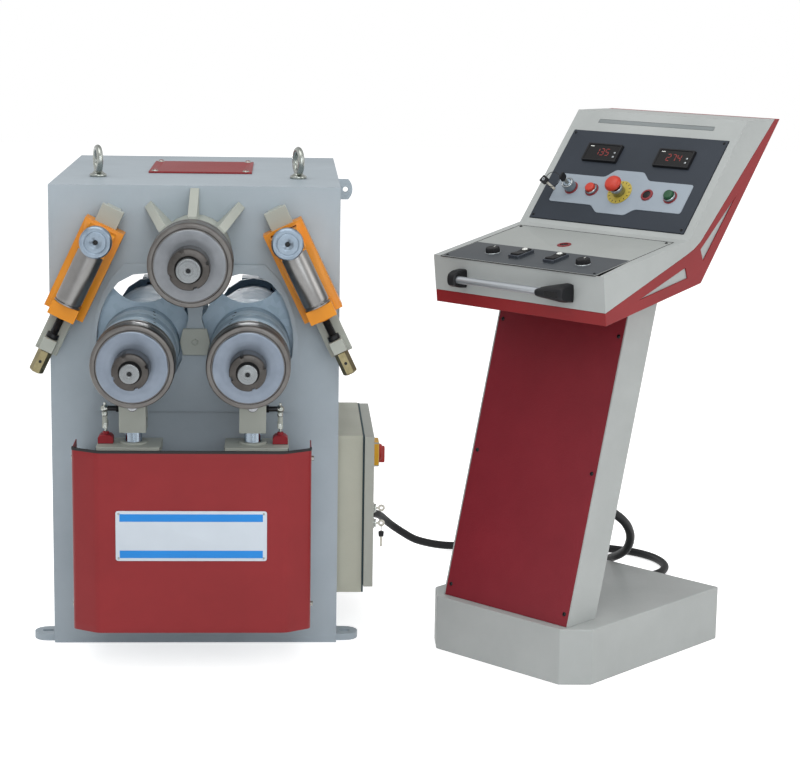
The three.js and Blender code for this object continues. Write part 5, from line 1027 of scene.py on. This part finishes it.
def make_lead_screw(name, side):
    """Threaded rod as a helix, whose radius follows |2 * phase - 1|, the phase being the share left over of
    height / pitch - angle / turn; with its collar, its hexagonal head and a black disc of painted shade for its
    hole."""
    pitch, deep, rings = 3.0, 1.2, 360
    z = np.linspace(SCREW["thrust_low"] - 4, SCREW["top"], rings)[:, None]
    a = round_angles(24)
    phase = (z / pitch - a / (2 * math.pi)) % 1
    thread = capped(spun(SCREW["radius"] - deep + deep * np.abs(2 * phase - 1), z, a))
    local, body = slope_axis(side, SCREW["ahead"]), f"{name}_screw"
    mesh_piece(f"{name}_screw_thread", thread, local, BLACK_SCREW, body, (f"{name}_lead_screw",))
    top = SCREW["thrust_top"] + 0.3
    collar = lathed([(9, top), (13.5, top), (13.5, top + 11), (9, top + 11)], 1, 4, 48)
    mesh_piece(f"{name}_screw_collar", collar, local, BLACK_SCREW, body)
    low, high = SCREW["hex_low"], SCREW["thrust_low"] - 0.3
    head = chamfered(circle(SCREW["hex"] - 0.2, 6), low, high, 2.5)
    mesh_piece(f"{name}_screw_head", head, local, YELLOW_ZINC, body)
    # A black disc on one flat of the hexagon, a little proud of it: painted shade for the hole through the
    # head.
    across = inside_of(local, (0, 0, (low + high) / 2), X, Z)
    flat = SCREW["hex"] * 0.866
    mesh_piece(f"{name}_screw_hole_painted_shade", plug(3.4, flat - 0.4, flat + 0.1, 20), across, BLACK_SCREW, body)


# Console: base, post and head


def make_stand():
    """Base, post and head of the console, and the six screws of the post's red panel."""
    softened("console_base", GREY, 9.0, 5)
    softened("console_post", GREY, 1.5)
    softened("post_panel", PANEL_RED, 0.8)
    softened("console_head", GREY, 1.6, 3)
    softened("console_skirt", RED, 1.2)
    length, across = POST["panel"] / math.cos(POST["lean"]), POST["half"] - 15
    spots = [(side * across, length * share) for side in (-1, 1) for share in (0.04, 0.5, 0.95)]
    dome_screws("post_panel_screws", spots, 4.6, 2.6, POST_FACE)


def seam_ring(half, low, high, wide):
    """The dark seam round a sheet: a flat ring between two rectangles, a little above the face round it."""
    inner = rectangle(-half, half, low, high, 2)
    outer = rectangle(-half - wide, half + wide, low - wide, high + wide, 3)
    return stacked([(inner, -1.2), (inner, 0.15), (outer, 0.15), (outer, -1.2)])


def make_desk():
    """Pale sheet with the dark strip, the ringed hole and the corner screws."""
    half, low, high = DESK["half"], DESK["from"], DESK["to"]
    sheet = slab(rectangle(-half, half, low, high, 2), rimmed(-3, 0, 0.5))
    mesh_piece("desk_sheet", sheet, ON_DESK, DESK_GREY, replaces=("desk_panel",))
    mesh_piece("desk_seam", seam_ring(half + 1, low - 1, high + 1, 2.2), ON_DESK, RUBBER)
    strip = slab(rectangle(-half + 1.5, half - 1.5, low + 1.5, DESK["strip"], 2), rimmed(-0.3, 0.5, 0.2))
    mesh_piece("desk_strip", strip, ON_DESK, DARK_STRIP)
    dome_screws("desk_screws", corner_spots(half, low, high, 9, 9), 3.6, 2, ON_DESK, 0.2)
    ring = lathed([(9.5, -0.2), (15.5, -0.2), (15.5, 1.4), (13.5, 2), (9.5, 2)], 0.4, 3, 64)
    mesh_piece("desk_lamp_ring", shifted(ring, *DESK["lamp"]), ON_DESK, RED_RING)
    well = plug(10, -0.1, 0.7, 48)
    mesh_piece("desk_lamp_lens", shifted(well, *DESK["lamp"]), ON_DESK, GLOSS_BLACK)


def make_rocker(name, across):
    """Dark frame on a bright foot, black pad hollowed to its middle, and the clear lamp cap at its far end."""
    w, l, at = ROCKER["half"], ROCKER["long"], ROCKER["at"]
    outer, inner = rectangle(-w, w, -l, l, 3), rectangle(-w + 3, w - 3, -l + 3, l - 3, 2)
    rim = stacked([(outer, 0.3), (outer, 8.2), (outset(outer, -0.8), 9.2), (outset(inner, 0.6), 9.2),
                   (inner, 8.6), (inner, 0.3)])
    mesh_piece(f"{name}_rocker_frame", shifted(rim, across, at), ON_DESK, ROCKER_FRAME)
    near, far = outset(outer, 0.2), outset(outer, 1.4)
    foot = stacked([(near, 0.45), (far, 0.45), (far, 1.6), (near, 2)])
    mesh_piece(f"{name}_rocker_foot", shifted(foot, across, at), ON_DESK, BRIGHT_ALUMINIUM)
    long, wide, body = l - 4.8, w - 3.8, f"{name}_toggle"
    side_view = eased([(-long, 5), (0, 2.4), (long, 5), (long, 12), (0, 9.6), (-long, 12)],
                      [1, 3, 1, 2, 8, 2], 6)
    mesh_piece(f"{name}_rocker_pad", chamfered(side_view, -wide, wide, 0.8),
               inside_of(ON_DESK, (across, at, 0), Y, Z), BLACK, body, (f"{name}_rocker",))
    a = np.linspace(0, math.pi / 2, 8)
    cap = turned([(0, 9), *zip(6.5 * np.cos(a), 11.6 + 2.6 * np.sin(a))], 32)
    mesh_piece(f"{name}_rocker_lamp", shifted(cap, across, at + long * 0.6), ON_DESK, LAMP_WHITE, body)


def make_knob(name, across):
    """Black knob with 24 waves round its flank, a white line on top and a silver ring under it."""
    radius, top, at, body = KNOB["radius"], KNOB["height"], KNOB["at"], f"{name}_dial"
    profile = eased([(0, 1), (radius, 1), (radius, 4), (radius - 0.8, top - 1), (radius - 2.6, top + 0.3),
                     (0, top - 0.6)], [0, 1, 1, 1.5, 2, 0], 5, closed=False)
    cap = knurled(profile, 10, 3, 0.55, 24, 192)
    mesh_piece(f"{name}_knob_cap", shifted(cap, across, at), ON_DESK, BLACK, body, (f"{name}_knob",))
    line = slab(rectangle(-0.7, 0.7, 4, 11, 0.5), rimmed(top - 2, top + 0.4, 0.3))
    mesh_piece(f"{name}_knob_line", shifted(line, across, at), ON_DESK, LAMP_WHITE, body)
    ring = lathed([(15.6, 0.2), (17.6, 0.2), (17.6, 1.2), (16.8, 2), (15.6, 2)], 0.4, 4, 72)
    mesh_piece(f"{name}_knob_ring", shifted(ring, across, at), ON_DESK, BRIGHT_ALUMINIUM)


BOW = [(-180, 61), (-60, 61), (-38, 43), (38, 43), (60, 61), (180, 61), (180, 137), (60, 137), (38, 158),
       (-38, 158), (-60, 137), (-180, 137)]


def make_instrument_sheet():
    """Dark sheet with its seam and screws, the slot behind it with a darker floor of painted shade, and the
    pale plate under the buttons.
    """
    half, low, high, top = PANEL["half"], PANEL["from"], PANEL["to"], PANEL["top"]
    sheet = slab(rectangle(-half, half, low, high, 2), rimmed(0.3, top, 0.4))
    mesh_piece("instrument_sheet", sheet, ON_PANEL, DARK, replaces=("instrument_panel",))
    seam = seam_ring(half - 0.5, low + 0.5, high - 0.5, 1.8)
    mesh_piece("instrument_seam", seam, ON_PANEL, RUBBER)
    # The slot's floor is a darker grey than the head round it: painted shade in the recess.
    floor = slab(rectangle(-157, 157, 284.3, 293.7, 4), [(0, -1.15), (0, -0.2)])
    mesh_piece("head_slot_floor", floor, ON_PANEL, SLOT_PAINTED_SHADE)
    plate = slab(eased(BOW, [7, 8, 6, 6, 8, 7] * 2, 6), rimmed(top - 0.5, PLATE_TOP, 0.3))
    mesh_piece("button_plate", plate, ON_PANEL, LIGHT_PLATE)
    dome_screws("instrument_screws", corner_spots(half, low, high, 8, 8), 3.4, 1.8, ON_PANEL, top)


LIT_BARS = {"1": "bc", "2": "abdeg", "3": "abcdg", "4": "bcfg", "5": "acdfg", "7": "abc"}
DIGIT = {"wide": 9.0, "tall": 17.0, "bar": 2.0, "step": 14, "low": -7.5}


def lit_bar(length):
    """A flat strip with pointed ends, as long as given and as wide as a digit's bar."""
    end, edge = length / 2, DIGIT["bar"] / 2
    return np.array([(-end, 0), (1 - end, -edge), (end - 1, -edge), (end, 0), (end - 1, edge), (1 - end, edge)])


def digit_bars(digit, x, y):
    """Seven-segment digit: its lit bars, at the places that a to g name."""
    wide, tall = DIGIT["wide"] / 2, DIGIT["tall"]
    flat, upright = lit_bar(DIGIT["wide"] - 1.4), lit_bar(tall / 2 - 1.2)[:, ::-1]
    places = {"a": (0, tall, flat), "b": (wide, tall * 0.75, upright), "c": (wide, tall / 4, upright),
              "d": (0, 0, flat), "e": (-wide, tall / 4, upright), "f": (-wide, tall * 0.75, upright),
              "g": (0, tall / 2, flat)}
    lit = [places[bar] for bar in LIT_BARS[digit]]
    return [shifted(slab(outline, [(0, 0), (0, 0.4)]), x + u, y + v) for u, v, outline in lit]


def make_meter(name, side, digits):
    """Black bezel with a sunk gloss window, three lit digits, a small mark and two keys."""
    w, h, proud = METER["half"], METER["tall"], METER["proud"]
    local = inside_of(ON_PANEL, (side * METER["across"], METER["at"], 0), X, Y)
    outer, inner = rectangle(-w, w, -h, h, 3), rectangle(-w + 5, w - 5, -h + 4.5, h - 4.5, 2)
    bezel = stacked([(outer, 2.0), (outer, 4.5), (outset(outer, -1.2), proud), (outset(inner, 1), proud),
                     (inner, proud - 1.2), (inner, 2.0)])
    mesh_piece(f"{name}_meter_bezel", bezel, local, BLACK)
    window = slab(rectangle(-w + 4.8, w - 4.8, -h + 4.3, h - 4.3, 2), [(0, 2.2), (0, proud - 1.6)])
    mesh_piece(f"{name}_meter_window", window, local, GLOSS_BLACK)
    step, face = DIGIT["step"], proud - 1.7
    bars = [bar for i, digit in enumerate(digits) for bar in digit_bars(digit, step * (i - 1), DIGIT["low"])]
    mesh_piece(f"{name}_meter_digits", shifted(together(*bars), z=face), local, DIGIT_RED)
    keys = together(*(shifted(slab(circle(2.6, 24), rimmed(0, 1.1, 0.5)), w - 13, s, face) for s in (-10, 1)))
    mesh_piece(f"{name}_meter_keys", keys, local, BRIGHT_ALUMINIUM)
    mark = slab(rectangle(-w + 9, -w + 19, h - 9.5, h - 7.5, 0.6), [(0, face), (0, face + 0.4)])
    mesh_piece(f"{name}_meter_mark", mark, local, LAMP_WHITE)


def button_collar(name, across, radius, height, bore):
    """Bright turned collar on a red base ring; gives the frame at the foot of its axis."""
    local = inside_of(ON_PANEL, (across, BUTTON_ROW, PLATE_TOP), X, Y)
    collar = lathed([(bore, 0), (radius, 0), (radius, height - 1.6), (radius - 1.4, height),
                     (bore + 0.6, height), (bore, height - 0.8)], 0.8, 4, 72)
    mesh_piece(f"{name}_collar", collar, local, BRIGHT_ALUMINIUM)
    ring = lathed([(radius - 0.5, -0.2), (radius + 2.6, -0.2), (radius + 2.4, 1.3), (radius - 0.5, 1.6)],
                  0.4, 3, 72)
    mesh_piece(f"{name}_base_ring", ring, local, RED_RING)
    return local


def make_push_button(name, across, finish):
    """Round cap on its stem, in a collar."""
    local = button_collar(name, across, 14, 8, 11.9)
    cap = lathed([(0, -12), (7, -12), (7, 4), (11.5, 5), (11.5, 12.4), (9.8, 14.6), (0, 15)],
                 [0, 0, 0, 0.5, 1.5, 2, 0], 5, 72)
    mesh_piece(f"{name}_cap", cap, local, finish, name, (name,))


def make_stop_button():
    """Mushroom head on a turned collar, with the yellow disc and its darker lines round it."""
    local = button_collar("stop", 0, 14.5, 21, 7.4)
    disc = lathed([(14, 0.1), (30, 0.1), (30, 1.6), (14, 1.6)], 0.4, 3, 96)
    mesh_piece("stop_yellow_disc", disc, local, YELLOW)
    bar = slab(rectangle(-0.8, 0.8, 23, 28, 0.4), [(0, 1.5), (0, 1.75)])
    turns = [(math.cos(a), math.sin(a)) for a in np.arange(16) * math.pi / 8 + 0.1]
    marks = together(*(moved(bar, frame_at((0, 0, 0), (c, s, 0), (-s, c, 0))) for c, s in turns))
    mesh_piece("stop_disc_marks", marks, local, BLACK)
    head = lathed([(0, -12), (7, -12), (7, 27.2), (15, 28.7), (19.6, 31.5), (19.6, 35), (16, 42), (8, 44.2),
                   (0, 44.6)], [0, 0, 2, 2, 2, 3, 4, 4, 0], 6, 96)
    mesh_piece("stop_mushroom", head, local, STOP_RED, "emergency_stop", ("emergency_stop",))
    groove = lathed([(14.8, 28), (17.6, 29.2), (17.2, 30.2), (14.8, 30.2)], 0.3, 3, 72)
    mesh_piece("stop_skirt_ring", groove, local, BLACK, "emergency_stop")


def make_lamp():
    """Indicator lamp: a red ring and a dark lens."""
    local = inside_of(ON_PANEL, (74, BUTTON_ROW, PLATE_TOP), X, Y)
    ring = lathed([(9.6, 0), (14.6, 0), (14.6, 1.6), (13, 3.2), (9.6, 3.2)], 0.5, 4, 72)
    mesh_piece("indicator_ring", ring, local, RED_RING)
    glass = lathed([(0, 0.1), (9.7, 0.1), (9.7, 1.8), (8, 2.6), (0, 3)], 0.6, 4, 64)
    mesh_piece("indicator_lens", glass, local, GLOSS_BLACK)


def make_key_switch():
    """Silver barrel and the steel key with a black bow in it."""
    local = button_collar("key", -135, 14, 22, 9.9)
    core = lathed([(0, -12), (9.5, -12), (9.5, 21.5), (8.5, 22.4), (0, 22.4)], 0.5, 4, 56)
    mesh_piece("key_core", core, local, CHROME, "key", ("key_switch",))
    side = inside_of(local, (0, 0, 0), Y, Z)
    blade = slab(rectangle(-3.6, 3.6, 18, 33, 0.6), [(0, -1.3), (0, 1.3)])
    mesh_piece("key_blade", blade, side, NICKEL_KEY, "key")
    bow = eased([(-5.5, 32), (5.5, 32), (9, 35), (9, 48), (6, 50), (-6, 50), (-9, 48), (-9, 35)], 3, 6)
    mesh_piece("key_bow", chamfered(bow, -2.1, 2.1, 0.7), side, BLACK, "key")


def make_spare_key():
    """Second key on the ring: its black bow lies to the left, and its steel blade points down to the right."""
    along, facing = np.array([0.858, -0.395, -0.324]), np.array([0.62, -0.42, 0.65])
    across = np.cross(facing, along)
    across /= np.linalg.norm(across)
    local = inside_of(ON_PANEL, (-188, 92, 38.3), along, across)
    bow = eased([(-9, -8.5), (7, -8.5), (10, -5), (10, 5), (7, 8.5), (-9, 8.5)], 3, 6)
    mesh_piece("spare_key_bow", chamfered(bow, -2.2, 2.2, 0.8), local, BLACK, "key")
    eye = lathed([(1.6, -2.3), (3.4, -2.3), (3.4, 2.6), (1.6, 2.6)], 0.4, 3, 32)
    mesh_piece("spare_key_eye", shifted(eye, -2), local, BRIGHT_ALUMINIUM, "key")
    blade = chamfered(rectangle(9, 36.5, -2.8, 2.8, 0.8), -1.1, 1.1, 0.2)
    mesh_piece("spare_key_blade", blade, local, NICKEL_KEY, "key")
    hanging = inside_of(ON_PANEL, (-163.5, 94, 41), along, across)
    mesh_piece("key_ring", ring_surface(17, 0.8, 64, 8), hanging, BLACK_SCREW, "key")


def make_grip():
    """Aluminium tube between a black block at its left end and a longer, tapered black handle at its right."""
    left, right, back, rise, taper = (GRIP[key] for key in ("left", "right", "off", "rise", "taper"))
    face, foot = HEAD["front"]
    lean = (face - 1.3) / (foot - 785)
    at = face - 0.3 - (foot - GRIP["height"]) * lean - back
    axis = inside_of(STAND, (HEAD["centre"], at, GRIP["height"]), Y, Z)
    tube = slab(circle(GRIP["tube"], 40), [(0, left[0] + 6), (0, right[1] - 20)])
    mesh_piece("grip_tube", tube, axis, SATIN_ALUMINIUM, replaces=("grip",))
    side = eased([(back, -20), (back + 1, 20), (4, 18), (-9, 13), (-12.4, 5), (-12.4, -5), (-9, -12.5),
                  (6, -18)], [1, 1, 6, 5, 4, 4, 5, 6], 6)
    mesh_piece("grip_left_block", chamfered(side, *left, 2.5), axis, BLACK)
    across = np.array([0, 1.2, 4, 16, 28, 42, taper, 62, 67, 70, right[1] - right[0]], float)
    top = np.clip((rise + across * (20 - rise) / taper) / 20, 0, 1)
    low = np.clip(0.72 + 0.28 * across / taper, 0, 1)
    inset = np.array([2.6, 0.8, 0, 0, 0, 0, 0, 0, 0.7, 1.8, 3.6])
    sections = []
    for place, up, down, inward in zip(across, top, low, inset):
        tall = np.where(side[:, 1] > 0, side[:, 1] * up, side[:, 1] * down)
        sections.append(at_height(outset(np.column_stack([side[:, 0], tall]), -inward), right[0] + place))
    mesh_piece("grip_right_handle", capped(np.array(sections)), axis, BLACK)
    # A thin gloss black patch beside the right handle: painted shade for a recess.
    well_face = inside_of(STAND, (HEAD["centre"] + right[0] + 44, at - 12.2, GRIP["height"] - 1), X, Z)
    well = slab(rectangle(-17, 17, -5.5, 5.5, 2.5), [(0, -0.6), (0, 0.3)])
    mesh_piece("grip_recess_painted_shade", well, well_face, GLOSS_BLACK)


make_casing()
make_gland("wall_gland", frame_at(WALL_GLAND["place"], Y, Z), WALL_GLAND, ("cable_gland",))
make_gland("post_gland", inside_of(STAND, POST_GLAND["place"], -X, Z), POST_GLAND)
make_front_cover()
make_cover_trim()
make_cover_screws()
make_nameplate()
make_cabinet()
make_main_switch()
make_door_locks()
make_hanging_key()
make_eyebolts()
make_roll("upper", *UPPER)
make_shaft("upper", *UPPER, UPPER_SHAFT)
for side_name, way in SIDES:
    make_roll(side_name, *lower_place(way))
    make_shaft(side_name, *lower_place(way), LOWER_SHAFT)
    for make in (make_drum, make_window_shield, make_lift, make_fork, make_guide, make_lead_screw):
        make(side_name, way)
make_stand()
make_desk()
for make, places in ((make_rocker, ROCKER["across"]), (make_knob, KNOB["across"])):
    for (side_name, _), place in zip(SIDES, places):
        make(side_name, place)
make_instrument_sheet()
for (side_name, way), digits in zip(SIDES, ("135", "274")):
    make_meter(side_name, way, digits)
make_push_button("red_button", -77, STOP_RED)
make_push_button("green_button", 136, GREEN)
make_stop_button()
make_lamp()
make_key_switch()
make_spare_key()
make_grip()

# Floor, backdrop and light


def make_floor():
    """White studio floor: it keeps the object's shadow, and a camera sees a little more light in it."""
    material = bpy.data.materials.new("studio_floor")
    material.use_nodes = True
    tree = material.node_tree
    tree.nodes.clear()
    rays = add(tree, "LightPath")
    white = add(tree, "BsdfDiffuse", {"Color": (0.82, 0.82, 0.82, 1)})
    glow = add(tree, "Emission", {"Color": (1, 1, 1, 1), "Strength": 0.64})
    seen = add(tree, "Math", links={0: rays.outputs["Is Camera Ray"], 1: rays.outputs["Is Glossy Ray"]},
               operation="MAXIMUM")
    lifted = add(tree, "AddShader", links={0: white.outputs[0], 1: glow.outputs[0]})
    choice = add(tree, "MixShader", links={0: seen.outputs[0], 1: white.outputs[0], 2: lifted.outputs[0]})
    add(tree, "OutputMaterial", links={"Surface": choice.outputs[0]})
    mesh = bpy.data.meshes.new("floor")
    reach, sunk = 14.0, -0.0005
    corners = [(x * reach, y * reach, sunk) for x, y in ((-1, -1), (1, -1), (1, 1), (-1, 1))]
    mesh.from_pydata(corners, [], [(0, 1, 2, 3)])
    mesh.materials.append(material)
    floor = bpy.data.objects.new("floor", mesh)
    bpy.context.scene.collection.objects.link(floor)


def make_world():
    """Even light from all round: white where a camera sees it, darker in front of a gloss than at its sides."""
    world = bpy.data.worlds.new("studio")
    bpy.context.scene.world = world
    world.use_nodes = True
    tree = world.node_tree
    tree.nodes.clear()
    rays = add(tree, "LightPath")
    way = add(tree, "SeparateXYZ", links={"Vector": add(tree, "TexCoord").outputs["Generated"]})
    aside = add(tree, "Math", links={0: way.outputs["X"]}, operation="ABSOLUTE")
    sides = add(tree, "MapRange", {"From Min": 0.1, "From Max": 0.8, "To Min": 0.55, "To Max": 1.0},
                {"Value": aside.outputs[0]})
    even = add(tree, "Mix", {2: 0.62}, {0: rays.outputs["Is Glossy Ray"], 3: sides.outputs["Result"]})
    strength = add(tree, "Mix", {3: 1.0}, {0: rays.outputs["Is Camera Ray"], 2: even.outputs[0]})
    back = add(tree, "Background", {"Color": (1, 1, 1, 1)}, {"Strength": strength.outputs[0]})
    add(tree, "OutputWorld", links={"Surface": back.outputs[0]})


def make_lamp_panel(name, place, target, size, power, tint):
    """A rectangular area light of a size in metres and a power in watts, which faces its target."""
    lamp = bpy.data.lights.new(name, "AREA")
    lamp.shape = "RECTANGLE"
    lamp.size, lamp.size_y = size
    lamp.energy = power
    lamp.color = tint
    panel = bpy.data.objects.new(name, lamp)
    bpy.context.scene.collection.objects.link(panel)
    panel.matrix_world = Matrix.Translation(place)
    x, y, z = np.array(target, float) - np.array(place, float)
    panel.rotation_euler = (math.atan2(math.hypot(x, y), -z), 0, math.atan2(x, -y) + math.pi)


# Three softboxes above, in front and to the right, a weak one low behind, and a glow inside the casing
COOL = (0.96, 0.98, 1.0)
LAMP_PANELS = [
    ("overhead_softbox", (-0.2, -1.2, 4.2), (0.4, -0.1, 0.6), (3.4, 2.6), 60, (1.0, 0.99, 0.97)),
    ("front_softbox", (0.6, -4.8, 2.4), (0.3, 0, 0.6), (2.8, 2.6), 70, (0.93, 0.97, 1.0)),
    ("right_softbox", (4.2, -2.4, 2.2), (0.3, 0, 0.6), (2.2, 2.6), 36, (1.0, 0.98, 0.95)),
    ("rear_fill", (0.0, 1.5, 0.8), (0.0, -0.3, 0.78), (0.5, 0.3), 7, COOL),
    ("inside_fill", (0, -0.235, 0.99), (0, -0.234, 0.5), (0.5, 0.2), 0.45, COOL),
]
make_floor()
make_world()
for lamp_panel in LAMP_PANELS:
    make_lamp_panel(*lamp_panel)
bpy.context.scene.view_settings.view_transform = "Standard"
